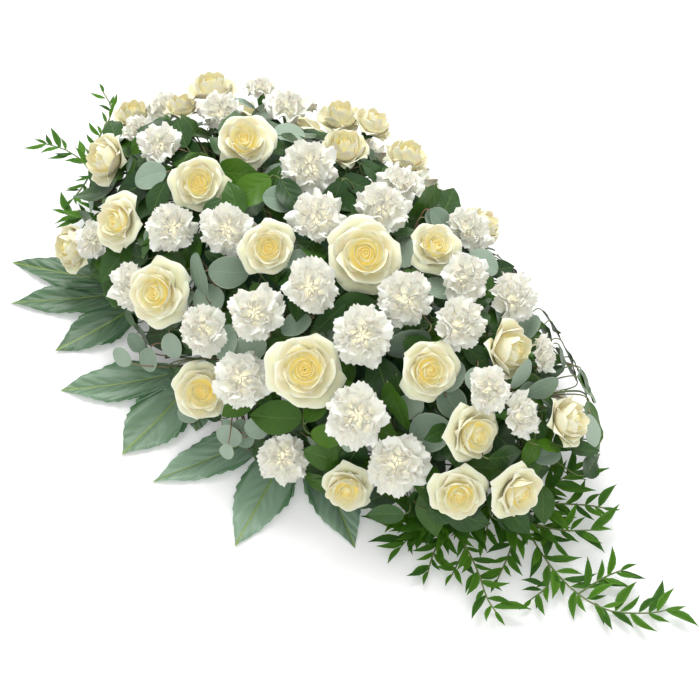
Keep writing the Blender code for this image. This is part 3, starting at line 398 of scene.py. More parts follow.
EUCALYPTUS = {
    "eucalyptus_01": [
        Leaf(200, 275, 100, 50, 4), Leaf(229, 271, 0, 46, 4), Leaf(207, 300, 10, 45),
        Leaf(212, 341, 70, 32, 2), Leaf(226, 343, 75, 42), Leaf(250, 346, 200, 38),
        Leaf(296, 325, 200, 36)],
    "eucalyptus_02": [
        Leaf(265, 154, 135, 50, 0), Leaf(245, 103, 170, 36), Leaf(266, 113, 10, 36),
        Leaf(290, 133, 120, 38), Leaf(280, 180, -45, 42), Leaf(280, 200, 180, 40),
        Leaf(150, 176, 190, 40, 2)],
    "eucalyptus_03": [
        Leaf(368, 157, 60, 24), Leaf(407, 249, 80, 46, 2), Leaf(441, 221, -30, 36),
        Leaf(438, 289, -20, 36), Leaf(381, 308, 100, 36), Leaf(408, 345, 210, 54, 4),
        Leaf(483, 263, -20, 38)],
    "eucalyptus_04": [
        Leaf(452, 376, 70, 36, 2), Leaf(452, 402, -60, 38, 2), Leaf(430, 433, 30, 50),
        Leaf(521, 374, 60, 36, 2), Leaf(543, 388, 20, 36), Leaf(528, 327, 65, 36),
        Leaf(484, 309, -30, 36)],
    "eucalyptus_05": [
        Leaf(229, 436, 180, 32), Leaf(243, 434, 100, 34), Leaf(257, 427, 30, 32),
        Leaf(227, 452, 250, 20), Leaf(190, 411, 200, 30), Leaf(122, 357, 160, 27),
        Leaf(136, 342, 150, 27), Leaf(149, 360, 250, 30), Leaf(172, 346, 280, 30)],
}

FATSIA = {
    "fatsia_01": ((165, 283), [(12, 262, 44), (10, 303, 44), (55, 352, 50)]),
    "fatsia_02": ((203, 365), [(60, 390, 50), (122, 455, 60), (196, 432, 36)]),
    "fatsia_03": ((303, 412), [(152, 482, 48), (235, 547, 54), (355, 548, 50)]),
}

RUSCUS = {
    "ruscus_01": [
        ([(500, 500, 30), (520, 520, 14), (549, 564, 9), (578, 594, 8), (611, 611, 8),
          (648, 613, 9), (666, 610, 10)], 40, 15),
        ([(520, 520, 14), (508, 556, 9), (497, 580, 8)], 34, 14),
        ([(549, 564, 9), (548, 585, 8), (530, 600, 8)], 32, 14),
        ([(578, 594, 8), (603, 578, 12), (622, 570, 14)], 34, 12),
        ([(520, 520, 14), (560, 530, 20), (592, 530, 22)], 40, 14),
        ([(500, 500, 30), (545, 503, 28), (585, 505, 26), (604, 508, 22)], 34, 14),
        ([(500, 500, 30), (490, 516, 20), (486, 534, 12)], 50, 9),
        ([(500, 500, 30), (511, 518, 22), (516, 538, 12)], 48, 9),
        ([(520, 520, 14), (540, 528, 14), (556, 543, 12)], 42, 10),
        ([(500, 500, 30), (530, 505, 34), (552, 510, 30)], 40, 10),
        ([(500, 500, 30), (545, 488, 40), (572, 472, 42)], 46, 9),
        ([(500, 500, 30), (470, 512, 24), (468, 530, 14)], 48, 9)],
    "ruscus_02": [
        ([(440, 505, 26), (449, 523, 12), (466, 547, 9), (478, 572, 8), (487, 598, 8),
          (496, 612, 8)], 36, 14),
        ([(449, 523, 12), (434, 552, 9), (428, 572, 8)], 34, 12),
        ([(440, 505, 26), (415, 530, 14), (400, 548, 12)], 42, 12),
        ([(466, 547, 9), (452, 575, 8)], 30, 12),
        ([(440, 505, 26), (426, 518, 18), (408, 532, 10)], 56, 10),
        ([(440, 505, 26), (420, 512, 24), (406, 516, 18)], 46, 10),
        ([(440, 505, 26), (440, 522, 18), (438, 538, 10)], 50, 10),
        ([(440, 505, 26), (458, 515, 22), (474, 526, 14)], 48, 10)],
    "ruscus_03": [
        ([(150, 165, 70), (95, 165, 60), (66, 150, 52), (46, 144, 52)], 32, 15),
        ([(95, 165, 60), (98, 140, 68), (112, 112, 76), (103, 92, 84)], 28, 12),
        ([(95, 165, 60), (84, 185, 52), (72, 200, 46)], 26, 12),
        ([(150, 165, 70), (118, 205, 50), (85, 218, 42), (66, 214, 38)], 38, 14),
        ([(150, 165, 70), (120, 175, 70), (96, 176, 64)], 40, 10)],
}


@dataclass
class Foot:
    """The lower end of a stem: its end in the foam, and where it comes out."""
    end: Vector
    mouth: Vector


@dataclass(frozen=True)
class Holder:
    """The tray and the foam block, and where stems may stand in it."""
    tray_size: tuple = (0.322, 0.142)
    tray_height: float = 0.030
    wall: float = 0.0025
    corner: float = 0.008
    gap: float = 0.0003
    foam_top: float = 0.088
    spine_half: float = 0.125
    spine_share: float = 0.38
    spine_height: float = 0.046
    depth: float = 0.024
    rings: int = 7
    turns: int = 6

    @property
    def foam_size(self) -> tuple[float, float]:
        """The foam's length and width."""
        return tuple(size - 2 * (self.wall + self.gap) for size in self.tray_size)

    def blocks(self, points: Vector, margin: float) -> bool:
        """Whether any of the points lies in the foam or within margin of it."""
        half = np.array(self.foam_size) / 2 + margin
        inside = (np.abs(points[:, :2]) < half).all(axis=1)
        return bool((inside & (points[:, 2] < self.foam_top + margin)).any())

    def entry(self, outside: Vector, target: Vector) -> Vector:
        """Where a straight way meets the foam's surface.

        Args:
            outside: Where it starts.
            target: Where it ends inside the foam.

        Returns:
            The place.
        """
        low = np.array((-self.foam_size[0] / 2, -self.foam_size[1] / 2, self.wall))
        high = np.array((self.foam_size[0] / 2, self.foam_size[1] / 2, self.foam_top))
        way, share = target - outside, 0.0
        for axis in range(3):
            if outside[axis] < low[axis]:
                share = max(share, (low[axis] - outside[axis]) / way[axis])
            if outside[axis] > high[axis]:
                share = max(share, (high[axis] - outside[axis]) / way[axis])
        return outside + way * share

    def seats(self, place: Vector) -> Iterator[Vector]:
        """Targets inside the foam for a stem.

        Args:
            place: Where the stem comes from.

        Returns:
            The targets, the nearest to the stem's own share first.
        """
        middle = float(np.clip(place[0] * self.spine_share, -self.spine_half, self.spine_half))
        for reach in range(self.rings):
            for turn in range(self.turns if reach else 1):
                angle = math.tau * turn / self.turns + reach
                yield np.array((middle + 0.007 * reach * math.cos(angle), 0.0,
                                self.spine_height + 0.004 * reach * math.sin(angle)))

    def foot(self, place: Vector, target: Vector) -> Foot:
        """The foot of a stem that runs straight from a place to a target in the foam."""
        mouth = self.entry(place, target)
        return Foot(mouth + unit(target - place) * self.depth, mouth)

    def rim(self) -> Iterator[Vector]:
        """Points round the tray's walls, level by level."""
        for height in np.linspace(self.wall, self.tray_height, 5):
            ring = rounded(self.tray_size, self.corner, float(height))
            yield along([*ring, ring[0]])


def rounded(size: tuple, corner: float, height: float) -> list[Vector]:
    """A ring of points round a rectangle with round corners.

    Args:
        size: The rectangle's length and width.
        corner: The corners' radius.
        height: The ring's level.

    Returns:
        The ring's points, three to a corner.
    """
    points = []
    for quarter in range(4):
        middle = [(size[axis] / 2 - corner) * (1 if quarter in near else -1)
                  for axis, near in enumerate(((0, 3), (0, 1)))]
        for index in range(3):
            angle = math.pi / 2 * (quarter + index / 2)
            points.append(np.array((middle[0] + corner * math.cos(angle),
                                    middle[1] + corner * math.sin(angle), height)))
    return points


HOLDER = Holder()


@dataclass
class Room:
    """The space that is taken: heads, and small spheres along stems and over leaves."""
    clear: float = 0.0016
    lowest: float = 0.0006
    foam_room: float = 0.002
    heads: list = field(default_factory=list)
    places: Vector = field(default_factory=lambda: np.zeros((0, 3)))
    radii: Vector = field(default_factory=lambda: np.zeros(0))
    owners: Vector = field(default_factory=lambda: np.zeros(0, dtype=int))
    names: list = field(default_factory=list)

    def number(self, name: str) -> int:
        """The number that stands for a node's name."""
        if name not in self.names:
            self.names.append(name)
        return self.names.index(name)

    def touches(self, points: Vector, radius: float, chosen: Vector) -> bool:
        """Whether spheres come too near to others.

        Args:
            points: The spheres' centres.
            radius: Their radius.
            chosen: Which of the taken spheres count.

        Returns:
            True where any does.
        """
        margin = radius + self.clear + 0.004
        low, high = points.min(axis=0) - margin, points.max(axis=0) + margin
        near = chosen & (self.places > low).all(axis=1) & (self.places < high).all(axis=1)
        if not near.any():
            return False
        gaps = points[:, None, :] - self.places[near][None, :, :]
        reach = radius + self.radii[near] + self.clear
        return bool(((gaps * gaps).sum(axis=2) < reach[None, :] ** 2).any())

    def free(self, name: str, points: Vector, radius: float, in_foam: bool = False) -> bool:
        """Whether spheres at the points stay clear of the ground and of what other nodes hold.

        Args:
            name: The node that asks.
            points: The spheres' centres.
            radius: Their radius.
            in_foam: Whether they may lie in the foam.

        Returns:
            True where there is room.
        """
        if points[:, 2].min() < radius + self.lowest:
            return False
        if not in_foam and HOLDER.blocks(points, radius + self.foam_room):
            return False
        middle = (points.min(axis=0) + points.max(axis=0)) / 2
        half = float(np.linalg.norm(points - middle, axis=1).max())
        for owner, head in self.heads:
            far = np.linalg.norm(head.centre - middle) > half + head.radius + radius + self.clear
            if owner != name and not far and head.near(points, radius + self.clear):
                return False
        return not self.touches(points, radius, self.owners != self.number(name))

    def apart(self, points: Vector, radius: float) -> bool:
        """Whether spheres at the points stay clear of the leaves and stems of every node."""
        return not self.touches(points, radius, np.ones(len(self.radii), dtype=bool))

    def take(self, name: str, points: Vector, radius: float) -> None:
        """Mark spheres at the points as taken by a node."""
        self.places = np.vstack((self.places, points))
        self.radii = np.append(self.radii, np.full(len(points), radius))
        self.owners = np.append(self.owners, np.full(len(points), self.number(name)))


ROOM = Room()


def bows(way: Vector) -> Iterator[Vector]:
    """Sideways shifts of a fork.

    Args:
        way: The way of the stem below it.

    Returns:
        The shifts, the smallest first.
    """
    side, other = side_axes(unit(way))
    yield side * 0.0
    for size in (0.012, 0.025, 0.040):
        for turn in range(4):
            angle = math.tau * turn / 4
            yield (side * math.cos(angle) + other * math.sin(angle)) * size


def find_route(name: str, tops: list, radius: float) -> tuple[Foot, list]:
    """A foot and a fork below the tops that leave all other nodes clear.

    Args:
        name: The node's name.
        tops: For each head its points from the top down.
        radius: The stem's radius.

    Returns:
        The foot, and the ways from it to the fork and from the fork to each top.
    """
    middle = sum(top[-1] for top in tops) / len(tops)
    for share, target in itertools.product((0.50, 0.35, 0.65, 0.20), HOLDER.seats(middle)):
        foot = HOLDER.foot(middle, target)
        for bow in bows(middle - foot.mouth):
            fork = foot.mouth + (middle - foot.mouth) * share + bow
            foot = HOLDER.foot(fork, target)
            ways = [np.array((foot.end, fork))] + [np.array((fork, *top[::-1])) for top in tops]
            if not ROOM.free(name, along(ways[0]), radius, in_foam=True):
                continue
            if all(ROOM.free(name, along(way), radius) for way in ways[1:]):
                return foot, ways
    raise ValueError("no clear way for " + name)


@dataclass
class Blade:
    """A leaf blade in place: its base, the way it runs, its upper side and its sizes."""
    base: Vector
    run: Vector
    upper: Vector
    length: float
    width: float
    stations: tuple
    fold: float = 0.10
    droop: float = 0.12

    def point(self, share: float, across: float) -> Vector:
        """The point at a share of the length and a distance across, on the upper side."""
        side = np.cross(self.run, self.upper)
        rise = abs(across) * self.fold - self.length * self.droop * share * share
        return self.base + self.run * self.length * share + side * across + self.upper * rise

    def half_width(self, share: float) -> float:
        """Half the blade's width at a share of its length."""
        shares = (0.0, *(station[0] for station in self.stations), 1.0)
        halves = (0.0, *(station[1] for station in self.stations), 0.0)
        return float(np.interp(share, shares, halves)) * self.width

    def raised(self, low: float) -> "Blade":
        """The blade tilted up about its base where it would come too near to the ground.

        Args:
            low: How near it may come.

        Returns:
            The blade.
        """
        lack = low - float(self.samples()[:, 2].min())
        if lack <= 0.0:
            return self
        run = unit(self.run + UP * lack / self.length)
        return replace(self, run=run, upper=unit(self.upper - run * (self.upper @ run)))

    def samples(self, step: float = 0.0065) -> Vector:
        """Points spread over the blade.

        Args:
            step: The longest gap between two points.

        Returns:
            The points, a row each.
        """
        rows = max(3, math.ceil(self.length / step))
        found = []
        for row in range(rows + 1):
            half = self.half_width(row / rows)
            count = max(1, math.ceil(2 * half / step))
            for column in range(count + 1):
                found.append(self.point(row / rows, half * (2 * column / count - 1)))
        return np.array(found)


@dataclass(frozen=True)
class LeafCut:
    """How a foliage's leaves are cut: width as a share of length, and the edge's stations."""
    width: float
    stations: tuple


SALAL_CUT = LeafCut(0.66, ((0.30, 0.50), (0.68, 0.36)))
EUCALYPTUS_CUT = LeafCut(0.90, ((0.26, 0.48), (0.76, 0.44)))
RUSCUS_CUT = LeafCut(0.30, ((0.42, 0.50),))
LEAF_ROOM = 0.0012
BRANCH = 0.0011
ROSE_STEM, CARNATION_STEM = 0.0026, 0.0021
TAPER = 0.6


@dataclass
class Stalk:
    """A stem or stalk in place: its path, and its thickness at both ends."""
    path: list
    thick: float
    tip: float


@dataclass
class Sprig:
    """What one foliage node holds: its stems, and its blades with how bright each is."""
    name: str
    stalks: list = field(default_factory=list)
    blades: list = field(default_factory=list)


@dataclass
class Stemmed:
    """What one bloom node holds: its heads and its stems."""
    name: str
    heads: list
    stalks: list
    first_turn: int


def lay_blooms(tables: list[tuple[dict, float]]) -> list[Stemmed]:
    """Place every head, then run the stems to the foam.

    Args:
        tables: For each kind of bloom its table and its stems' radius.

    Returns:
        The nodes with their heads and stems, in the tables' order.
    """
    nodes = [(name, radius, [bloom.head() for bloom in blooms])
             for table, radius in tables for name, blooms in table.items()]
    ROOM.heads.extend((name, head) for name, _, heads in nodes for head in heads)
    laid = []
    for order, (name, radius, heads) in enumerate(nodes):
        _, ways = find_route(name, [head.top() for head in heads], radius)
        for way in ways:
            ROOM.take(name, along(way), radius)
        stalks = [Stalk([*ways[0], *ways[1][1:]], radius, radius)]
        stalks += [Stalk(list(way), radius, radius) for way in ways[2:]]
        laid.append(Stemmed(name, heads, stalks, order))
    return laid


@dataclass(frozen=True)
class LeafyStem:
    """A leafy stem: its name, its leaves and how they are cut."""
    name: str
    leaves: list
    cut: LeafCut
    stem: float = 0.0022
    hub_sink: float = 0.05
    hub_shares: tuple = (0.55, 0.40, 0.70, 0.25)
    scales: tuple = (1.0, 0.8, 0.62, 0.5)
    depths: range = range(0, 60, 5)
    pitches: tuple = (0.0, -0.45, 0.45)
    rolls: tuple = (0.0, 0.45, -0.45, 0.9, -0.9)
    bows: tuple = (0.0, 0.015, -0.015, 0.03, -0.03)

    def hub(self, middle: Vector) -> tuple[Foot, Vector]:
        """Where the stem runs.

        Args:
            middle: The middle of its leaves.

        Returns:
            Its foot and the hub it ends in, towards that middle.
        """
        for share in self.hub_shares:
            for target in HOLDER.seats(middle):
                foot = HOLDER.foot(middle, target)
                hub = foot.mouth + (middle - foot.mouth) * share
                if ROOM.free(self.name, along([foot.end, hub]), self.stem, in_foam=True):
                    return foot, hub
        raise ValueError("no clear way for " + self.name)

    def ways(self, leaf: AnyLeaf) -> Iterator[Blade]:
        """The ways to set a leaf over its spot, the largest and least sunk first."""
        for scale, depth in itertools.product(self.scales, self.depths):
            for pitch, roll in itertools.product(self.pitches, self.rolls):
                yield self.blade(leaf, (leaf.sink + depth) / 1000, roll, pitch, scale)

    def blade(self, leaf: AnyLeaf, sink: float, roll: float, pitch: float, scale: float) -> Blade:
        """A leaf blade in its seat, rolled about its rib and pitched.

        Args:
            leaf: The leaf.
            sink: How deep it lies below the mound.
            roll: Its turn about its rib.
            pitch: Its rise from base to tip.
            scale: Its size as a share of the leaf's.

        Returns:
            The blade.
        """
        middle, upper, run = leaf.seat(sink)
        run = unit(run - upper * (run @ upper))
        run, upper = (unit(run * math.cos(pitch) + upper * math.sin(pitch)),
                      unit(upper * math.cos(pitch) - run * math.sin(pitch)))
        side = np.cross(run, upper)
        upper = unit(upper * math.cos(roll) + side * math.sin(roll))
        length = leaf.length / 1000 * scale
        return Blade(middle - run * length * 0.5, run, upper, length, length * self.cut.width,
                     self.cut.stations)

    def place(self, leaf: AnyLeaf, start: Vector) -> tuple[Blade, list] | None:
        """Find room for a leaf and its stalk.

        Args:
            leaf: The leaf.
            start: Where its stalk starts.

        Returns:
            The first blade and stalk that leave other nodes clear, or None.
        """
        for blade in self.ways(leaf):
            if not ROOM.free(self.name, blade.samples(), LEAF_ROOM):
                continue
            joint = blade.base - blade.run * 0.006 - blade.upper * 0.003
            sideways = np.cross(unit(joint - start), UP)
            for bow in self.bows:
                bend = [(joint + start) / 2 + sideways * bow] if bow else []
                stalk = [start, *bend, joint]
                if ROOM.free(self.name, along([*stalk, blade.base]), BRANCH):
                    return blade, stalk
        return None

    def lay(self) -> Sprig:
        """Place the stem, its leaves and their stalks.

        Returns:
            What the node holds.
        """
        spots = [MOUND.at(leaf.column, leaf.row, self.hub_sink)
                 for leaf in self.leaves if isinstance(leaf, Leaf)]
        foot, hub = self.hub(sum(spots) / len(spots))
        ROOM.take(self.name, along([foot.end, hub]), self.stem)
        sprig = Sprig(self.name, [Stalk([foot.end, hub], self.stem, self.stem)])
        for order, leaf in enumerate(self.leaves):
            start = hub + (foot.mouth - hub) * (0.05 + 0.5 * order / len(self.leaves))
            found = self.place(leaf, start)
            if found:
                blade, stalk = found
                ROOM.take(self.name, blade.samples(), LEAF_ROOM)
                ROOM.take(self.name, along([*stalk, blade.base]), BRANCH)
                path = eased([*stalk, blade.base], blade.run)
                sprig.stalks.append(Stalk(path, BRANCH, BRANCH * TAPER))
                sprig.blades.append((blade, leaf.bright))
        return sprig


@dataclass(frozen=True)
class Skirt:
    """Low dark leaves round the foot of the mound, which point outwards and droop to the ground."""
    count: int = 46
    seed: int = 4
    reach: tuple = (0.300, 0.145)
    heights: tuple = (0.016, 0.034)
    lengths: tuple = (58.0, 76.0)
    near: tuple = (0.88, 1.06)
    back_share: float = 0.86
    stray: float = 35
    brights: tuple = (0.0, 0.0, 0.15, 0.35)

    def spots(self) -> Iterator[RimLeaf]:
        """The leaves, spread evenly round the foot."""
        draw = np.random.default_rng(self.seed)
        for index in range(self.count):
            around = math.tau * (index + draw.uniform(-0.3, 0.3)) / self.count
            near = draw.uniform(*self.near)
            near *= 1.0 if math.sin(around - 0.9) < 0.3 else self.back_share
            long, wide = self.reach
            x, y = long * near * math.cos(around), wide * near * math.sin(around)
            points = math.degrees(math.atan2(y / wide ** 2, x / long ** 2))
            yield RimLeaf(x * 1000, y * 1000, draw.uniform(*self.heights) * 1000,
                          points + draw.uniform(-self.stray, self.stray),
                          draw.uniform(*self.lengths), bright=float(draw.choice(self.brights)))


@dataclass(frozen=True)
class UnderLayer:
    """Short leaves that fill the gaps below the blooms, each on a stalk from the nearest stem."""
    count: int = 210
    seed: int = 12
    lengths: tuple = (42.0, 62.0)
    margin: float = 0.0008
    cover: float = 0.016
    end_from: float = 0.12
    back: tuple = (0.03, 0.085)
    skirt: bool = True
    fall: float = 1.12
    stray: float = 80
    brights: tuple = (0.0, 0.0, 0.1, 0.3, 0.6)
    scales: tuple = (1.0, 0.75)
    depths: tuple = (6, 14, 22, 30, 40, 50)
    pitches: tuple = (0.0, 0.5, -0.4)
    rolls: tuple = (0.0, 0.5, -0.5)

    def spots(self) -> Iterator[FillLeaf]:
        """Leaves spread evenly over the mound from its crown to its foot."""
        draw = np.random.default_rng(self.seed)
        for index in range(self.count):
            height = 1.0 - self.fall * (index + 0.5) / self.count
            around = GOLDEN_TURN * index + draw.uniform(-0.1, 0.1)
            level = math.sqrt(1.0 - height * height)
            way = np.array((level * math.cos(around), level * math.sin(around), height))
            spot = tuple(np.array(MOUND.centre) + way * MOUND.reach)
            points = math.degrees(around) + draw.uniform(-self.stray, self.stray)
            length = draw.uniform(*self.lengths)
            yield FillLeaf(spot, points, length, float(draw.choice(self.brights)))

    def lay(self, stems: list[LeafyStem], sprigs: list[Sprig]) -> None:
        """Add to each sprig the leaves that lie nearest to it.

        Args:
            stems: The leafy stems.
            sprigs: What each of them holds.
        """
        hubs = [sprig.stalks[0].path[1] for sprig in sprigs]
        heads = [head for _, head in ROOM.heads]
        for leaf in (*self.spots(), *(Skirt().spots() if self.skirt else ())):
            place = leaf.seat(0.0)[0]
            gap = min(float(np.linalg.norm(place - head.centre) - head.radius) for head in heads)
            behind = place[1] > self.back[0] and place[2] < self.back[1]
            if place[0] > self.end_from and gap > self.cover and not behind:
                continue
            nearest = int(np.argmin([np.linalg.norm(hub - place) for hub in hubs]))
            for blade in self.ways(stems[nearest], leaf):
                if ROOM.free("under-layer", blade.samples(0.009), self.margin):
                    sprig = sprigs[nearest]
                    sprig.blades.append((blade, leaf.bright))
                    path = eased([hubs[nearest], blade.base], blade.run)
                    sprig.stalks.append(Stalk(path, BRANCH, BRANCH * TAPER))
                    break

    def ways(self, stem: LeafyStem, leaf: AnyLeaf) -> Iterator[Blade]:
        """The ways to set a leaf, the least sunk first."""
        for scale, depth in itertools.product(self.scales, self.depths):
            for pitch, roll in itertools.product(self.pitches, self.rolls):
                yield stem.blade(leaf, depth / 1000, roll, pitch, scale)


@dataclass(frozen=True)
class RuscusStem:
    """A trailing ruscus stem: its name, and the spots, leaf length and spacing of each shoot."""
    name: str
    shoots: list
    stem: float = 0.0013
    tip_share: float = 0.6
    brights: tuple = (0.1, 0.35, 0.6)
    shifts: tuple = (0, 4, 8, -4, 12, 16, -8, 22, 28, 34, -14, -20, -28)
    shrinks: tuple = (1.0, 0.8)
    rises: tuple = (0.10, 0.35, -0.10, 0.70)
    angles: tuple = (0.75, 0.50, 1.00, 0.25)

    def ways(self, place: Vector, way: Vector, side: int, length: float) -> Iterator[Blade]:
        """The ways to set a leaf on its stem.

        Args:
            place: Where it grows.
            way: The stem's way there.
            side: 1 or -1, the side that it points to.
            length: Its length.

        Returns:
            The blades, the fullest first.
        """
        for shrink, rise, angle in itertools.product(self.shrinks, self.rises, self.angles):
            run = unit(turned(unit(way * (1, 1, 0.3)), side * angle) + UP * rise)
            upper = unit(np.cross(side_axes(run)[0], run))
            upper = upper if upper[2] > 0 else -upper
            size = length * shrink
            yield Blade(place, run, upper, size, size * RUSCUS_CUT.width, RUSCUS_CUT.stations)

    def leaf(self, place: Vector, way: Vector, side: int, length: float) -> Blade | None:
        """The first of those ways that leaves every other piece clear, or None."""
        for blade in self.ways(place, way, side, length):
            points = blade.samples()[3:]
            if ROOM.free(self.name, points, LEAF_ROOM) and ROOM.apart(points, LEAF_ROOM):
                return blade
        return None

    def path(self, spots: list, starts: dict) -> list[Vector]:
        """A shoot's path, raised or lowered until it is clear.

        Args:
            spots: The spots that it runs through, with their heights in mm.
            starts: Places that earlier shoots run through, by spot.

        Returns:
            The path, or an empty one.
        """
        for shift in self.shifts:
            path = [VIEW.at_height(column, row, (height + shift) / 1000)
                    for column, row, height in spots]
            path[0] = starts.get(spots[0][:2], path[0])
            if ROOM.free(self.name, along(path), BRANCH):
                return path
        return []

    def leaves(self, path: list, length: float, spacing: float,
               draw: np.random.Generator) -> list[Blade]:
        """Alternate leaves along a path, and one at its tip.

        Args:
            path: The shoot's path.
            length: The leaves' usual length.
            spacing: The usual gap between two leaves.
            draw: Where chance comes from.

        Returns:
            The blades.
        """
        blades, side, ahead = [], 1, 0.012
        for start, end in zip(path, path[1:]):
            span = float(np.linalg.norm(end - start))
            while ahead < span:
                size = length * draw.uniform(0.80, 1.15)
                place = start + (end - start) * ahead / span
                blade = self.leaf(place, unit(end - start), side, size)
                if blade:
                    blades.append(blade)
                    ROOM.take(self.name, blade.samples()[3:], LEAF_ROOM)
                side = -side
                ahead += spacing * draw.uniform(0.95, 1.30)
            ahead -= span
        tip = unit(path[-1] - path[-2])
        short = length * self.tip_share
        last = Blade(path[-1] - tip * 0.002, tip, side_axes(tip)[1], short,
                     short * RUSCUS_CUT.width, RUSCUS_CUT.stations)
        if ROOM.free(self.name, last.samples(), LEAF_ROOM):
            blades.append(replace(last, upper=-last.upper))
        return blades

    def between(self, path: list, length: float, spacing: float) -> list[Blade]:
        """Smaller leaves between the others, which may lie over them.

        Args:
            path: The shoot's path.
            length: The others' usual length.
            spacing: The usual gap between them.

        Returns:
            The blades.
        """
        found = []
        points = along(path, spacing * 0.85)
        for index in range(1, len(points) - 1):
            size = length * (0.55 + 0.30 * ((index * 0.618) % 1.0))
            way, side = unit(points[index + 1] - points[index]), 1 if index % 2 else -1
            for blade in self.ways(points[index], way, side, size):
                if ROOM.free(self.name, blade.samples(0.009)[3:], 0.0004):
                    found.append(blade)
                    break
        return found

    def lay(self) -> Sprig:
        """Place the stem with its side shoots and leaves.

        Returns:
            What the node holds.
        """
        draw = np.random.default_rng(int(self.name[-2:]))
        sprig, starts = Sprig(self.name), {}
        for spots, length, spacing in self.shoots:
            path = self.path(spots, starts)
            if not path:
                LOG.info("%s: no room for a shoot", self.name)
                continue
            ROOM.take(self.name, along(path), BRANCH)
            for (column, row, _), place in zip(spots, path):
                starts.setdefault((column, row), place)
            whole = path
            if not sprig.stalks:
                _, ways = find_route(self.name, [(path[1], path[0])], self.stem)
                ROOM.take(self.name, along(ways[0]), self.stem)
                whole = [*ways[0], *path]
            blades = self.leaves(path, length / 1000, spacing / 1000, draw)
            blades += self.between(path, length / 1000, spacing / 1000)
            sprig.blades += zip(blades, itertools.cycle(self.brights))
            sprig.stalks.append(Stalk(whole, self.stem, self.stem * TAPER))
        return sprig


@dataclass(frozen=True)
class FanLeaf:
    """A fatsia leaf: the spot of its middle, and its lobes' tips and widths in mm."""
    name: str
    spot: tuple
    lobes: list
    middle_height: float = 0.024
    low: float = 0.0020
    flat_share: float = 0.70
    fold: float = 0.0045
    fold_width: float = 0.05
    notch: float = 0.26
    notch_half: float = 0.3
    blade: float = 0.0010
    stalk: float = 0.0020
    collar_reach: float = 0.030
    collar_height: float = 0.048
    coarse: tuple = ((0.50, 0.50), (0.68, 0.44), (0.73, 0.35))

    @property
    def middle(self) -> Vector:
        """The leaf's middle."""
        return VIEW.at_height(*self.spot, self.middle_height)

    @property
    def tips(self) -> list[tuple[Vector, float]]:
        """The lobes' tips with their widths, from right to left."""
        tips = [(VIEW.at_height(column, row, self.low), width / 1000)
                for column, row, width in self.lobes]
        return sorted(tips, key=lambda tip: math.atan2(*(tip[0] - self.middle)[1::-1]))

    def place(self, tip: Vector, share: float, across: float) -> Vector:
        """A point of the blade.

        Args:
            tip: Its lobe's tip.
            share: Its share of the lobe's length.
            across: Its distance from the lobe's rib.

        Returns:
            The point.
        """
        way = tip - self.middle
        side = unit(np.array((-way[1], way[0], 0.0)))
        fall = max(0.0, 1.0 - share / self.flat_share) ** 2
        rise = self.fold * min(1.0, abs(across) * 2 / self.fold_width) * min(1.0, share * 3)
        spot = self.middle + way * share + side * across
        spot[2] = self.low + (self.middle_height - self.low) * fall + rise
        return spot

    def notches(self) -> list[Vector]:
        """The notches beside and between the lobes, from right to left."""
        tips = self.tips
        first, last = tips[0], tips[-1]
        between = [self.place((near[0] + far[0]) / 2, self.notch, 0.0)
                   for near, far in zip(tips, tips[1:])]
        return [self.place(first[0], self.notch, -first[1] * self.notch_half), *between,
                self.place(last[0], self.notch, last[1] * self.notch_half)]

    def cover(self) -> Iterator[Vector]:
        """Points over the plain blade, a face at a time."""
        middle, tips, notches = self.middle, self.tips, self.notches()
        for index, (tip, width) in enumerate(tips):
            right, left = ([notches[index + number], *(self.place(tip, share, side * width * half)
                                                       for share, half in self.coarse)]
                           for number, side in enumerate((-1, 1)))
            low, high = (self.place(tip, share, 0.0) for share, _ in self.coarse[:2])
            end = self.place(tip, 1.0, 0.0)
            faces = ((middle, right[0], low), (middle, low, left[0]), (right[0], right[1], low),
                     (low, left[1], left[0]), (right[1], right[2], low), (right[2], high, low),
                     (low, left[2], left[1]), (low, high, left[2]), (right[2], right[3], high),
                     (high, left[3], left[2]), (right[3], end, high), (high, end, left[3]))
            for first, second, third in faces:
                yield np.vstack([along([point, third]) for point in along([first, second])])

    def lay(self) -> Sprig:
        """Take the blade's room and run its stalk over the tray's rim into the foam.

        Returns:
            What the node holds.
        """
        for points in self.cover():
            ROOM.take(self.name, points, LEAF_ROOM)
        collar = self.middle + unit(-self.middle) * self.collar_reach
        collar[2] = self.collar_height
        root = self.middle - UP * (self.blade / 2)
        _, ways = find_route(self.name, [(root, collar)], self.stalk)
        for way in ways:
            ROOM.take(self.name, along(way), self.stalk)
        return Sprig(self.name, [Stalk([*ways[0], *ways[1][1:]], self.stalk, self.stalk)])


class Slot(Enum):
    """The record's material slots."""
    CREAM = "cream_petal"
    WHITE = "white_petal"
    SALAL = "salal_green"
    EUCALYPTUS = "eucalyptus_grey"
    FATSIA = "fatsia_green"
    RUSCUS = "ruscus_green"
    TRAY = "tray"
    FOAM = "foam"


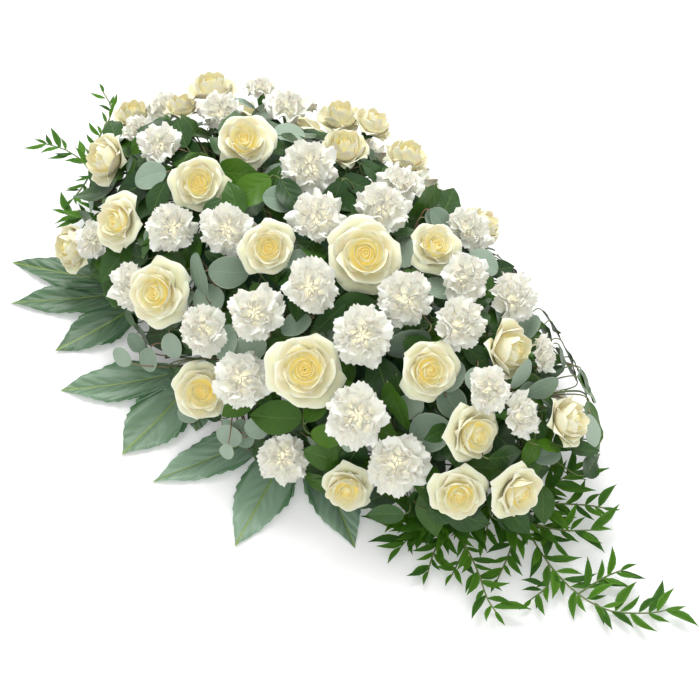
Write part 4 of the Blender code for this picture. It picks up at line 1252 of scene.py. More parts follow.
@dataclass
class Sheet:
    """A thin closed form: its points, faces and the values that its finish reads."""
    points: Vector
    faces: list
    values: dict

    @classmethod
    def from_grid(cls, grid: Vector, thickness: float, **values: Vector) -> "Sheet":
        """A sheet with its upper side on a grid, which thins out to its edges.

        Args:
            grid: The upper side's points, by row and column.
            thickness: The thickness inside the edges.
            values: Arrays of one number a point, by name.

        Returns:
            The closed sheet.
        """
        rows, columns = grid.shape[:2]
        normal = np.cross(np.gradient(grid, axis=0), np.gradient(grid, axis=1))
        normal /= np.maximum(np.linalg.norm(normal, axis=2, keepdims=True), 1e-9)
        upper = np.arange(rows * columns).reshape(rows, columns)
        lower = upper.copy()
        inner = (rows - 2) * (columns - 2)
        lower[1:-1, 1:-1] = rows * columns + np.arange(inner).reshape(rows - 2, columns - 2)
        below = (grid - normal * thickness)[1:-1, 1:-1].reshape(-1, 3)
        faces = []
        for row, column in itertools.product(range(rows - 1), range(columns - 1)):
            ring = ((row, column), (row + 1, column), (row + 1, column + 1), (row, column + 1))
            faces.append(tuple(int(upper[spot]) for spot in ring))
            faces.append(tuple(int(lower[spot]) for spot in ring[::-1]))
        carried = {name: np.append(number.ravel(), number[1:-1, 1:-1].ravel())
                   for name, number in values.items()}
        carried["rim"] = np.append((lower == upper).astype(float).ravel(), np.zeros(inner))
        return cls(np.vstack((grid.reshape(-1, 3), below)), faces, carried)

    def mesh(self, name: str) -> bpy.types.Mesh:
        """The sheet as a mesh with its edge marked sharp.

        Args:
            name: The mesh's name.

        Returns:
            The mesh.
        """
        mesh = bpy.data.meshes.new(name)
        mesh.from_pydata(self.points.tolist(), [], self.faces)
        for key, numbers in self.values.items():
            layer = mesh.attributes.new(key, "FLOAT", "POINT")
            layer.data.foreach_set("value", numbers.astype(np.float32))
        mesh.polygons.foreach_set("use_smooth", [True] * len(mesh.polygons))
        rim = self.values["rim"]
        for edge in mesh.edges:
            edge.use_edge_sharp = bool(rim[edge.vertices[0]] and rim[edge.vertices[1]])
        return mesh


def shown(name: str, data: bpy.types.ID) -> bpy.types.Object:
    """A new object in the scene.

    Args:
        name: Its name.
        data: Its mesh, lamp or camera.

    Returns:
        The object.
    """
    thing = bpy.data.objects.new(name, data)
    bpy.context.scene.collection.objects.link(thing)
    return thing


def kit_of(name: str, meshes: list[bpy.types.Mesh]) -> bpy.types.Collection:
    """A kit: shapes that are repeated, each an object of one collection outside the scene.

    Args:
        meshes: The shapes.

    Returns:
        The collection, in order of name.
    """
    held = bpy.data.collections.new(name)
    for index, mesh in enumerate(meshes):
        held.objects.link(bpy.data.objects.new(f"{name}_{index:02d}", mesh))
    return held


def drop_kit(kit: bpy.types.Collection) -> None:
    """Take away a kit whose shapes are in place."""
    for shape in list(kit.objects):
        bpy.data.objects.remove(shape)
    bpy.data.collections.remove(kit)


def arc(share: Vector, start: tuple, bend: tuple, end: tuple) -> Iterator[Vector]:
    """Both coordinates at shares of a curve.

    Args:
        share: How far along the curve.
        start: Where it starts.
        bend: Where it leans to.
        end: Where it ends.

    Returns:
        The first coordinates, then the second.
    """
    rest = 1 - share
    return (rest ** 2 * start[axis] + 2 * share * rest * bend[axis] + share ** 2 * end[axis]
            for axis in (0, 1))


@dataclass(frozen=True)
class Petals:
    """What the petals of a bloom of radius one share: their number, and how each is meshed."""
    name: str
    shapes: int
    petals: int
    rows: int
    columns: int
    thickness: float
    seed: int
    tilt: float
    sizes: tuple
    crowding: float

    def shares(self) -> list[float]:
        """Where each shape lies from the heart to the outermost."""
        return [index / (self.shapes - 1) for index in range(self.shapes)]

    def ruled(self) -> tuple[Vector, Vector]:
        """How far up and how far across the petal each point lies, closer together at the edge."""
        up = 1.0 - (1.0 - np.linspace(0.0, 1.0, self.rows)) ** self.crowding
        return up[:, None] * np.ones(self.columns), np.ones((self.rows, 1)) * np.linspace(
            -1.0, 1.0, self.columns)

    def wrapped(self, polar: tuple[Vector, Vector, Vector], share: float, ruling: tuple) -> Sheet:
        """The petal, wrapped round its bloom's axis.

        Args:
            polar: Its points' distance from the axis, angle and height.
            share: Where its layer lies from the heart to the outermost.
            ruling: How far up and across each point lies.

        Returns:
            The sheet.
        """
        radius, angle, height = polar
        grid = np.stack((radius * np.cos(angle), radius * np.sin(angle), height), axis=2)
        reach, across = ruling
        return Sheet.from_grid(grid, self.thickness, layer=np.full(reach.shape, share), reach=reach,
                               across=across)


@dataclass(frozen=True)
class RosePetals(Petals):
    """The petals of a rose, from the furled heart outwards."""
    name: str = "rose_petals"
    shapes: int = 16
    petals: int = 27
    rows: int = 8
    columns: int = 9
    thickness: float = 0.018
    seed: int = 3
    tilt: float = 0.05
    sizes: tuple = (0.88, 0.94)
    crowding: float = 1.5
    layers: tuple = (0.0, 0.38, 0.46, 0.66, 0.76, 1.0)
    rims: tuple = (0.0, 0.25, 0.38, 0.58, 0.74, 1.0)
    heights: tuple = (0.45, 0.46, 0.54, 0.50, 0.34, 0.0)
    closed_rims: tuple = (0.0, 0.24, 0.39, 0.55, 0.74, 1.03)
    closed_heights: tuple = (0.70, 0.76, 0.86, 0.80, 0.64, 0.28)

    def sheet(self, share: float, draw: np.random.Generator, closed: bool) -> Sheet:
        """One petal.

        Args:
            share: 0 at the heart and 1 outermost.
            draw: Where chance comes from.
            closed: Whether the rose is half closed.

        Returns:
            The petal's sheet.
        """
        reach, across = self.ruled()
        point = (0.02 + 0.035 * share) * np.exp(-((across - draw.uniform(-0.25, 0.25)) / 0.3) ** 2)
        length = reach * (1.0 - 0.18 * np.abs(across) ** 2.6 + point)
        outline = (self.closed_rims, self.closed_heights) if closed else (self.rims, self.heights)
        end = tuple(float(np.interp(share, self.layers, line)) for line in outline)
        bend = (end[0] * (1.05 - 0.25 * share) + (0.30 if closed else 0.10), -0.20 + 0.36 * share)
        start = (0.15 * share, -0.42)
        radius, height = arc(length, start, bend, end)
        radius = radius * (1.0 + 0.20 * across * (1.0 - share)) + 0.004
        half = (0.18 + 0.60 * share ** 0.8) * np.sin(np.pi * (0.12 + 0.60 * reach))
        angle = np.clip(half / np.maximum(radius, 0.02), 0.0, 1.9) * across
        edge = np.abs(across) ** 3 * reach ** 2
        curl = np.clip((reach - 0.70) / 0.30, 0.0, 1.0) ** 2
        wave = draw.uniform(-1, 1) * 0.05 + 0.04 * np.sin(
            across * draw.uniform(3, 5) + draw.uniform(0, 6))
        radius = (radius + edge * 0.07 * share + reach ** 3 * wave * share
                  + curl * (0.015 + 0.06 * share))
        height = (height - edge * 0.20 * share + reach ** 4 * wave * 0.7
                  - curl * (0.01 + 0.05 * share))
        return self.wrapped((radius, angle, height), share, (reach, across))

    def kit(self) -> bpy.types.Collection:
        """The shapes of an open rose's petals, then those of a closed one's."""
        draw = np.random.default_rng(self.seed)
        return kit_of(self.name, [self.sheet(share, draw, closed).mesh(self.name)
                                  for closed in (False, True) for share in self.shares()])


@dataclass(frozen=True)
class CarnationPetals(Petals):
    """The ruffled, finely toothed petals of a carnation."""
    name: str = "carnation_petals"
    shapes: int = 15
    petals: int = 28
    rows: int = 6
    columns: int = 19
    thickness: float = 0.016
    seed: int = 8
    tilt: float = 0.20
    sizes: tuple = (0.85, 1.06)
    crowding: float = 1.3

    def sheet(self, share: float, draw: np.random.Generator) -> Sheet:
        """One petal.

        Args:
            share: 0 at the heart and 1 outermost.
            draw: Where chance comes from.

        Returns:
            The petal's sheet.
        """
        reach, across = self.ruled()
        teeth = draw.uniform(0.010, 0.055, self.columns)
        teeth *= np.where(np.arange(self.columns) % 2, 1.0, -1.0)
        lobes = 0.06 * np.sin(math.pi * draw.uniform(1.0, 2.0) * across + draw.uniform(0, 6))
        length = reach * (1.0 - 0.22 * across ** 2 + lobes) + teeth * reach ** 6
        end = (0.16 + 0.84 * share ** 0.80, 0.50 - 0.52 * share ** 1.6)
        bend = (0.50 * end[0] + 0.04, 0.12 + 0.12 * (1 - share))
        start = (0.0, -0.36)
        radius, height = arc(length, start, bend, end)
        half = 0.08 + (0.44 + 0.16 * share) * reach ** 0.8
        angle = np.clip(half / np.maximum(radius, 0.05), 0.0, 1.3) * across
        ruffle = draw.uniform(0.14, 0.22) * reach ** 1.3 * np.sin(
            math.pi * draw.uniform(1.4, 2.6) * across + draw.uniform(0, 6))
        ruffle = ruffle + 0.055 * reach ** 2 * np.sin(
            math.pi * draw.uniform(3.6, 5.0) * across + draw.uniform(0, 6))
        run = np.array((end[0] - bend[0], end[1] - bend[1]))
        lean = np.array((-run[1], run[0])) / np.linalg.norm(run)
        radius, height = radius + ruffle * lean[0], height + ruffle * lean[1]
        return self.wrapped((radius, angle, height), share, (reach, across))

    def kit(self) -> bpy.types.Collection:
        """The petals' shapes."""
        draw = np.random.default_rng(self.seed)
        return kit_of(self.name, [self.sheet(share, draw).mesh(self.name)
                                  for share in self.shares()])


@dataclass(frozen=True)
class LeafBlades:
    """Leaf blades of length one that run along +Y, face +Z and fold along their rib."""
    name: str
    cut: LeafCut
    rows: int
    columns: int
    tip: float
    base: float
    wave: float
    bend: float = 0.03
    droops: tuple = (0.04, 0.12)
    narrow: float = 0.84
    thickness: float = 0.016
    shapes: int = 5
    seed: int = 5

    def half_width(self, reach: Vector) -> Vector:
        """Half the width along the blade, full between a rounded base and the tip.

        Args:
            reach: Shares of the length.

        Returns:
            Half the width at each.
        """
        shares, widths = (np.array(column) for column in zip(*self.cut.stations))
        widest = float(shares @ widths / sum(widths))
        warped = np.where(reach < widest, reach / widest / 2,
                          0.5 + (reach - widest) / (1 - widest) / 2)
        power = np.where(warped < 0.5, self.base, self.tip)
        return 0.5 * self.cut.width * np.maximum(np.sin(math.pi * warped), 0.0) ** power

    def sheet(self, draw: np.random.Generator) -> Sheet:
        """One blade.

        Args:
            draw: Where chance comes from.

        Returns:
            The blade's sheet.
        """
        reach = (1 - np.cos(np.linspace(0.0, math.pi, self.rows))) / 2
        reach = reach[:, None] * np.ones(self.columns)
        across = np.ones((self.rows, 1)) * np.linspace(1.0, -1.0, self.columns)
        side = across * self.half_width(reach) * draw.uniform(self.narrow, 1.0)
        phase, count = draw.uniform(0, 6), draw.uniform(1.2, 2.2)
        rise = 0.10 * np.abs(side) - draw.uniform(*self.droops) * reach ** 2
        rise = rise + self.wave * np.abs(across) ** 1.5 * np.sin(
            math.tau * count * reach + phase + across) * np.sin(math.pi * reach)
        side = side + draw.uniform(-self.bend, self.bend) * np.sin(math.pi * reach)
        grid = np.stack((side, reach, rise), axis=2)
        return Sheet.from_grid(grid, self.thickness, reach=reach, across=across)

    def kit(self) -> bpy.types.Collection:
        """The blades' shapes."""
        draw = np.random.default_rng(self.seed)
        return kit_of(self.name, [self.sheet(draw).mesh(self.name) for _ in range(self.shapes)])


LANCE_BLADES = LeafBlades(
    "ruscus_blade", LeafCut(0.27, ((0.40, 0.50),)), 10, 5, 1.3, 0.8, 0.014, 0.09, (-0.10, 0.12))
OVATE_BLADES = LeafBlades("salal_blade", SALAL_CUT, 13, 9, 1.0, 0.5, 0.036)
ROUND_BLADES = LeafBlades("eucalyptus_blade", EUCALYPTUS_CUT, 11, 9, 0.5, 0.5, 0.012)


@dataclass(frozen=True)
class Calyx:
    """The green cup below a head of radius one, with pointed sepals, which ends on the stem."""
    name: str
    profile: tuple
    sepals: int = 5
    sides: int = 10
    sepal_rise: float = 0.16
    spread: float = 0.10

    def mesh(self) -> bpy.types.Mesh:
        """The cup: rings up its profile, the last one drawn out into points."""
        points, faces = [], []
        for index, (radius, height) in enumerate(self.profile):
            top = index == len(self.profile) - 1
            for side in range(self.sides):
                angle = math.tau * side / self.sides
                point = 0.5 + 0.5 * math.cos(self.sepals * angle) if top else 0.0
                reach = radius + self.spread * point
                points.append((reach * math.cos(angle), reach * math.sin(angle),
                               height + self.sepal_rise * point))
        for row in range(len(self.profile) - 1):
            for side in range(self.sides):
                after = (side + 1) % self.sides
                low, high = row * self.sides, (row + 1) * self.sides
                faces.append((low + side, low + after, high + after, high + side))
        faces.append(tuple(range(self.sides))[::-1])
        faces.append(tuple(range(len(points) - self.sides, len(points))))
        mesh = bpy.data.meshes.new(self.name)
        mesh.from_pydata(points, [], faces)
        mesh.polygons.foreach_set("use_smooth", [True] * len(mesh.polygons))
        return mesh

    def kit(self) -> bpy.types.Collection:
        """The cup as a kit of one shape."""
        return kit_of(self.name, [self.mesh()])


ROSE_CALYX = Calyx(
    "rose_calyx", ((0.075, -0.74), (0.13, -0.68), (0.20, -0.58), (0.22, -0.48), (0.30, -0.42)),
    spread=0.22)
CARNATION_CALYX = Calyx(
    "carnation_calyx", ((0.07, -1.02), (0.14, -0.96), (0.18, -0.76), (0.20, -0.56), (0.23, -0.36)),
    spread=0.04)


class Nodes:
    """A node tree under construction."""

    def __init__(self, tree: bpy.types.NodeTree) -> None:
        """Work in a tree."""
        self.tree = tree

    def add(self, kind: str, links: dict, out: str | int = 0, **settings: object) -> Socket:
        """Add a node.

        Args:
            kind: The node's type.
            links: For each of its inputs, by name or number, a socket or a value.
            out: The output that is wanted.
            settings: The node's own settings.

        Returns:
            The output.
        """
        node = self.tree.nodes.new(kind)
        for key, value in settings.items():
            setattr(node, key, value)
        for key, value in links.items():
            if isinstance(value, Socket):
                self.tree.links.new(value, node.inputs[key])
            else:
                node.inputs[key].default_value = value
        return node.outputs[out]

    def close(self, value: Socket) -> None:
        """Put out a value."""
        self.tree.links.new(value, self.tree.nodes.new("NodeGroupOutput").inputs[0])


class Tree(Nodes):
    """A geometry node tree under construction."""

    def __init__(self, name: str, **inputs: str) -> None:
        """Start a tree that takes a mesh and more inputs.

        Args:
            name: The tree's name.
            inputs: The other inputs, by name and type of socket.
        """
        super().__init__(bpy.data.node_groups.new(name, "GeometryNodeTree"))
        face = self.tree.interface
        face.new_socket("Geometry", in_out="OUTPUT", socket_type="NodeSocketGeometry")
        self.sockets = {key: face.new_socket(key, in_out="INPUT", socket_type=kind)
                        for key, kind in {"Geometry": "NodeSocketGeometry", **inputs}.items()}
        self.start = self.tree.nodes.new("NodeGroupInput")

    def given(self, name: str) -> Socket:
        """An input of the tree."""
        return self.start.outputs[name]

    def named(self, name: str, kind: str = "FLOAT") -> Socket:
        """A named attribute."""
        return self.add("GeometryNodeInputNamedAttribute", {"Name": name}, "Attribute",
                        data_type=kind)

    def end(self, geometry: Socket) -> None:
        """Realize the geometry, give it the material, and put it out."""
        real = self.add("GeometryNodeRealizeInstances", {"Geometry": geometry})
        self.close(self.add("GeometryNodeSetMaterial", {
            "Geometry": real, "Material": self.given("Material")}))

    def run(self, name: str, mesh: bpy.types.Mesh, **values: object) -> bpy.types.Object:
        """Run the tree over a mesh.

        Args:
            name: The piece's name.
            mesh: The mesh that the tree starts from.
            values: The tree's inputs by name.

        Returns:
            The piece, a plain mesh.
        """
        piece = shown(name, mesh)
        step = piece.modifiers.new("made", "NODES")
        step.node_group = self.tree
        for key, value in values.items():
            step[self.sockets[key].identifier] = value
        graph = bpy.context.evaluated_depsgraph_get()
        made = bpy.data.meshes.new_from_object(piece.evaluated_get(graph))
        piece.modifiers.clear()
        piece.data = made
        made.name = name
        return piece


def repeats_tree() -> Tree:
    tree = Tree("placed repeats", Kit="NodeSocketCollection", Crumple="NodeSocketFloat",
                Scale="NodeSocketFloat", Seed="NodeSocketFloat", Material="NodeSocketMaterial")
    kit = tree.add("GeometryNodeCollectionInfo", {
        "Collection": tree.given("Kit"), "Separate Children": True, "Reset Children": True})
    turn = tree.add("FunctionNodeEulerToRotation", {"Euler": tree.named("turn", "FLOAT_VECTOR")})
    held = tree.add("GeometryNodeInstanceOnPoints", {
        "Points": tree.given("Geometry"), "Instance": kit, "Pick Instance": True,
        "Instance Index": tree.named("shape", "INT"), "Rotation": turn,
        "Scale": tree.named("size")})
    real = tree.add("GeometryNodeRealizeInstances", {"Geometry": held})
    noise = tree.add("ShaderNodeTexNoise", {
        "Scale": tree.given("Scale"), "Detail": 1.0, "W": tree.given("Seed")}, "Color",
        noise_dimensions="4D")
    middle = tree.add("ShaderNodeVectorMath", {0: noise, 1: (0.5, 0.5, 0.5)}, operation="SUBTRACT")
    shift = tree.add("ShaderNodeVectorMath", {0: middle, "Scale": tree.given("Crumple")},
                     operation="SCALE")
    tree.end(tree.add("GeometryNodeSetPosition", {"Geometry": real, "Offset": shift}))
    return tree


def stems_tree() -> Tree:
    """The tree that draws round stems along a mesh's lines."""
    tree = Tree("stems", Sides="NodeSocketInt", Smoothness="NodeSocketInt",
                Material="NodeSocketMaterial")
    line = tree.add("GeometryNodeMeshToCurve", {"Mesh": tree.given("Geometry")})
    line = tree.add("GeometryNodeCurveSplineType", {"Curve": line}, spline_type="CATMULL_ROM")
    line = tree.add("GeometryNodeSetSplineResolution", {
        "Geometry": line, "Resolution": tree.given("Smoothness")})
    ring = tree.add("GeometryNodeCurvePrimitiveCircle", {
        "Resolution": tree.given("Sides"), "Radius": 1.0})
    tube = tree.add("GeometryNodeCurveToMesh", {
        "Curve": line, "Profile Curve": ring, "Scale": tree.named("thick"), "Fill Caps": True})
    tree.end(tree.add("GeometryNodeSetShadeSmooth", {"Geometry": tube}))
    return tree


@dataclass
class Spots:
    rows: list = field(default_factory=list)

    def add(self, place: Vector, axes: Vector, size: float, shape: int, tint: float,
            bright: float = 0.0) -> None:
        """Add a point.

        Args:
            place: Where the shape goes.
            axes: Its X, Y and Z axes, as columns.
            size: Its size.
            tint: A number that its finish varies by.
            bright: How bright it is.
        """
        turn = tuple(Matrix(axes.tolist()).to_euler())
        self.rows.append((tuple(map(float, place)), turn, float(size), int(shape), float(tint),
                          float(bright)))

    def mesh(self) -> bpy.types.Mesh:
        """The points as a mesh."""
        places, turns, *columns = zip(*self.rows)
        mesh = bpy.data.meshes.new("spots")
        mesh.from_pydata(places, [], [])
        for key, numbers in zip(("size", "shape", "tint", "bright"), columns):
            kind = "INT" if key == "shape" else "FLOAT"
            mesh.attributes.new(key, kind, "POINT").data.foreach_set("value", numbers)
        layer = mesh.attributes.new("turn", "FLOAT_VECTOR", "POINT")
        layer.data.foreach_set("vector", np.array(turns, dtype=np.float32).ravel())
        return mesh


def eased(stalk: list, run: Vector) -> list[Vector]:
    """A stalk's path drawn as one smooth curve that enters its blade along the rib.

    Args:
        stalk: The path.
        run: The way that the blade runs.

    Returns:
        The curve's points.
    """
    start, base = np.array(stalk[0]), np.array(stalk[-1])
    reach = min(0.018, float(np.linalg.norm(base - start)) / 2)
    hold, enter = start + (base - start) * 0.4 - UP * 0.004, base - run * reach
    return [start * (1 - t) ** 3 + hold * 3 * t * (1 - t) ** 2
            + enter * 3 * t * t * (1 - t) + base * t ** 3 for t in np.linspace(0.0, 1.0, 7)]


def lines_mesh(stalks: list[Stalk]) -> bpy.types.Mesh:
    """The stalks' paths as lines that carry their thickness.

    Args:
        stalks: The stalks.

    Returns:
        The lines as a mesh.
    """
    points, edges, thick = [], [], []
    for stalk in stalks:
        first = len(points)
        for index, place in enumerate(stalk.path):
            points.append(tuple(map(float, place)))
            thick.append(stalk.thick + (stalk.tip - stalk.thick) * index / (len(stalk.path) - 1))
        edges += [(index, index + 1) for index in range(first, len(points) - 1)]
    mesh = bpy.data.meshes.new("lines")
    mesh.from_pydata(points, edges, [])
    mesh.attributes.new("thick", "FLOAT", "POINT").data.foreach_set("value", thick)
    return mesh


@dataclass
class Workshop:
    """The two trees, and how a made piece joins the part."""
    repeats: Tree
    stems: Tree
    stem_sides: int = 8
    smoothness: int = 3

    def settle(self, piece: bpy.types.Object, node: str, slot: Slot) -> None:
        """Let a piece stand for a node.

        Args:
            piece: The piece.
            node: The node's name.
            slot: Not used.
        """
        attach(piece, "root")
        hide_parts(node)
        LOG.info("%s: %d faces", piece.name, len(piece.data.polygons))

    def repeat(self, name: str, node: str, spots: Spots, kit: bpy.types.Collection, slot: Slot,
               material: Material, crumple: float, scale: float, seed: float) -> None:
        """Make a piece of repeated shapes.

        Args:
            name: The piece's name.
            node: The node that it stands for.
            spots: Where its shapes go.
            kit: The shapes.
            slot: Not used.
            material: Its finish.
            crumple: How far its points are shifted at most.
            scale: How fine the shifting is.
            seed: A number that makes its shifting its own.
        """
        self.settle(self.repeats.run(name, spots.mesh(), Kit=kit, Crumple=crumple, Scale=scale,
                                     Seed=seed, Material=material), node, slot)

    def stalks(self, name: str, node: str, stalks: list[Stalk], slot: Slot,
               material: Material) -> None:
        """Make a piece of stems, with the same arguments but for the paths."""
        self.settle(self.stems.run(name, lines_mesh(stalks), Sides=self.stem_sides,
                                   Smoothness=self.smoothness, Material=material), node, slot)


class Shading(Nodes):
    """A shader node tree under construction: a material's own, or a group's."""

    def attribute(self, name: str) -> Socket:
        """A number that the mesh carries."""
        return self.add("ShaderNodeAttribute", {}, "Fac", attribute_name=name)

    def sum(self, kind: str, first: object, second: object = 0.0, third: object = 0.0) -> Socket:
        """A sum of up to three numbers or sockets, of a kind such as MAXIMUM."""
        return self.add("ShaderNodeMath", {0: first, 1: second, 2: third}, operation=kind)

    def times(self, first: object, second: object) -> Socket:
        """Two numbers or sockets multiplied."""
        return self.sum("MULTIPLY", first, second)

    def less(self, first: object, second: object) -> Socket:
        """The first number or socket less the second."""
        return self.sum("SUBTRACT", first, second)

    def ease(self, value: Socket, low: float, high: float) -> Socket:
        """A value eased from 0 at low to 1 at high."""
        return self.add("ShaderNodeMapRange", {"Value": value, "From Min": low, "From Max": high},
                        interpolation_type="SMOOTHSTEP")

    def mix(self, share: object, first: object, second: object) -> Socket:
        """A mix of two colours, each a socket or three numbers."""
        ends = [end if isinstance(end, Socket) else (*end, 1.0) for end in (first, second)]
        return self.add("ShaderNodeMix", {0: share, 6: ends[0], 7: ends[1]}, 2, data_type="RGBA")

    def noise(self, scale: float, detail: float = 2.0, stretch: tuple = (1, 1, 1)) -> Socket:
        """Noise over the object's own coordinates."""
        place = self.add("ShaderNodeTexCoord", {}, "Object")
        place = self.add("ShaderNodeMapping", {"Vector": place, "Scale": stretch})
        return self.add("ShaderNodeTexNoise", {"Vector": place, "Scale": scale, "Detail": detail})


class Group(Shading):
    """A shared effect: a shader node group with named inputs and one output."""

    def __init__(self, name: str, output: str, **inputs: float) -> None:
        """Start a group.

        Args:
            name: The group's name.
            output: Its output's name.
            inputs: Its inputs with their usual values.
        """
        super().__init__(bpy.data.node_groups.new(name, "ShaderNodeTree"))
        face = self.tree.interface
        for key, value in inputs.items():
            socket = face.new_socket(key, in_out="INPUT", socket_type="NodeSocketFloat")
            socket.default_value = value
        face.new_socket(output, in_out="OUTPUT", socket_type="NodeSocketFloat")
        self.given = self.tree.nodes.new("NodeGroupInput").outputs

    def used(self, nodes: Shading, **values: object) -> Socket:
        """The group's output in a material."""
        return nodes.add("ShaderNodeGroup", values, 0, node_tree=self.tree)


@cache
def vein_group() -> Group:
    """Veins of a blade: a rib, and side veins that leave it at a slant, all fading to the edge."""
    group = Group("leaf veins", "Veins", Reach=0.0, Across=0.0, Count=8.0, Slant=0.35, Rib=0.07,
                  Vein=0.16, Stray=0.0)
    given = group.given
    aside = group.sum("ABSOLUTE", given["Across"])
    stray = group.times(group.less(group.noise(38.0, 1.0), 0.5), given["Stray"])
    along_rib = group.less(given["Reach"], group.times(aside, given["Slant"]))
    along_rib = group.sum("ADD", along_rib, stray)
    phase = group.sum("PINGPONG", group.times(along_rib, given["Count"]), 0.5)
    side = group.less(1.0, group.sum("DIVIDE", phase, given["Vein"]))
    side = group.times(group.sum("MAXIMUM", side, 0.0), group.less(1.0, aside))
    rib = group.sum("MAXIMUM", group.less(1.0, group.sum("DIVIDE", aside, given["Rib"])), 0.0)
    group.close(group.sum("MAXIMUM", side, rib))
    return group


@cache
def mottle_group() -> Group:
    """Uneven shade over a surface: soft patches and a finer grain."""
    group = Group("mottle", "Value", Patch=30.0, Grain=400.0, Share=0.3)
    given, place = group.given, group.add("ShaderNodeTexCoord", {}, "Object")
    patch, grain = (group.add("ShaderNodeTexNoise", {
        "Vector": place, "Scale": given[key], "Detail": detail})
        for key, detail in (("Patch", 2.0), ("Grain", 3.0)))
    group.close(group.sum("ADD", patch, group.times(group.less(grain, patch), given["Share"])))
    return group


class Surface(Shading):
    """A material under construction round one shader, with plain numbers set on its sockets."""

    def __init__(self, name: str, roughness: float, **numbers: float) -> None:
        """Start a material.

        Args:
            name: The material's name.
            roughness: The shader's roughness.
            numbers: Values for more of its sockets, by name.
        """
        self.material = bpy.data.materials.new(name)
        self.material.use_nodes = True
        super().__init__(self.material.node_tree)
        self.inputs = self.tree.nodes["Principled BSDF"].inputs
        for key, value in {"Roughness": roughness, **numbers}.items():
            self.inputs[key.replace("_", " ")].default_value = value

    def feed(self, key: str, socket: Socket) -> None:
        """Link a socket to one of the shader's inputs."""
        self.tree.links.new(socket, self.inputs[key])

    def relief(self, height: Socket, depth: float, strength: float = 1.0) -> None:
        """Give it relief of a depth in metres."""
        self.feed("Normal", self.add(
            "ShaderNodeBump", {"Height": height, "Distance": depth, "Strength": strength}))

    def mottle(self, patch: float, grain: float, share: float) -> Socket:
        """Uneven shade of two scales, and the share of the finer."""
        return mottle_group().used(self, Patch=patch, Grain=grain, Share=share)

    def veins(self, **values: object) -> Socket:
        """A blade's veins."""
        return vein_group().used(self, **values)


@dataclass(frozen=True)
class RoseFinish:
    """Rose petals: butter yellow in the heart, cream without, and greenish on the outermost, with a
    painted glow that lifts the shade in the heart and at the petals' bases.
    """
    heart: tuple = (0.95, 0.805, 0.27)
    inner: tuple = (0.95, 0.90, 0.52)
    outer: tuple = (0.93, 0.885, 0.665)
    guard: tuple = (0.88, 0.85, 0.56)
    edge: tuple = (0.95, 0.93, 0.76)
    roughness: float = 0.55
    # How strongly the painted glow in the heart shines.
    glow: float = 0.21

    def material(self) -> Material:
        """The material."""
        paint = Surface("cream_rose_petal", self.roughness, Subsurface_Weight=0.15,
                        Subsurface_Scale=0.004, Sheen_Weight=0.15, Emission_Strength=self.glow,
                        Specular_IOR_Level=0.3)
        layer, reach = paint.attribute("layer"), paint.attribute("reach")
        colour = paint.mix(paint.ease(layer, 0.10, 0.45), self.heart, self.inner)
        colour = paint.mix(paint.ease(layer, 0.35, 0.62), colour, self.outer)
        colour = paint.mix(paint.times(paint.ease(layer, 0.88, 1.0), 0.6), colour, self.guard)
        low = paint.times(paint.ease(reach, 0.85, 0.40), paint.ease(layer, 0.80, 0.45))
        colour = paint.mix(paint.times(low, 0.8), colour, self.heart)
        rim = paint.times(paint.ease(reach, 0.80, 1.0), paint.ease(layer, -0.3, 0.4))
        colour = paint.mix(paint.times(rim, 0.8), colour, self.edge)
        shade = paint.times(paint.mottle(45.0, 600.0, 0.2), 0.12)
        colour = paint.mix(shade, colour, self.inner)
        paint.feed("Base Color", colour)
        # Painted light: the inner petals and the lower parts of the petals glow in their own colour,
        # standing in for light in the shaded heart.
        deep = paint.times(paint.ease(layer, 0.85, 0.35), paint.ease(reach, 1.0, 0.5))
        deep = paint.sum("MAXIMUM", deep, paint.times(paint.ease(layer, 0.42, 0.12), 0.8))
        paint.feed("Emission Color", paint.mix(deep, (0.0, 0.0, 0.0), colour))
        lines = paint.veins(Reach=reach, Across=paint.attribute("across"), Count=3.0, Slant=-9.0,
                            Rib=0.05, Vein=0.5)
        paint.relief(paint.sum("ADD", lines, paint.noise(90.0)), 0.0004, 0.5)
        return paint.material


@dataclass(frozen=True)
class CarnationFinish:
    """Carnation petals: white, with a faint cream heart and a painted glow that lifts the shade deep
    in the bloom.
    """
    heart: tuple = (0.95, 0.915, 0.74)
    white: tuple = (0.93, 0.92, 0.84)
    roughness: float = 0.70
    # How strongly the painted glow deep in the bloom shines.
    glow: float = 0.40

    def material(self) -> Material:
        """The material."""
        paint = Surface("white_carnation_petal", self.roughness, Subsurface_Weight=0.12,
                        Subsurface_Scale=0.003, Sheen_Weight=0.20, Emission_Strength=self.glow,
                        Specular_IOR_Level=0.3)
        layer, reach = paint.attribute("layer"), paint.attribute("reach")
        deep = paint.times(paint.ease(reach, 0.95, 0.35), paint.ease(layer, 1.3, 0.1))
        colour = paint.mix(deep, self.white, self.heart)
        shade = paint.times(paint.mottle(60.0, 800.0, 0.2), 0.10)
        colour = paint.mix(shade, colour, self.heart)
        paint.feed("Base Color", colour)
        # Painted light: the inner petals and the petals' lower parts glow a warm white, lifting the
        # shade deep in the bloom.
        painted_glow_mask = paint.times(paint.ease(reach, 1.0, 0.3), paint.ease(layer, 1.3, 0.2))
        paint.feed("Emission Color", paint.mix(painted_glow_mask, (0.0, 0.0, 0.0), (0.95, 0.92, 0.80)))
        lines = paint.veins(Reach=reach, Across=paint.attribute("across"), Count=4.0, Slant=-6.0,
                            Rib=0.04, Vein=0.5)
        paint.relief(paint.sum("ADD", lines, paint.noise(140.0)), 0.0004, 0.6)
        return paint.material


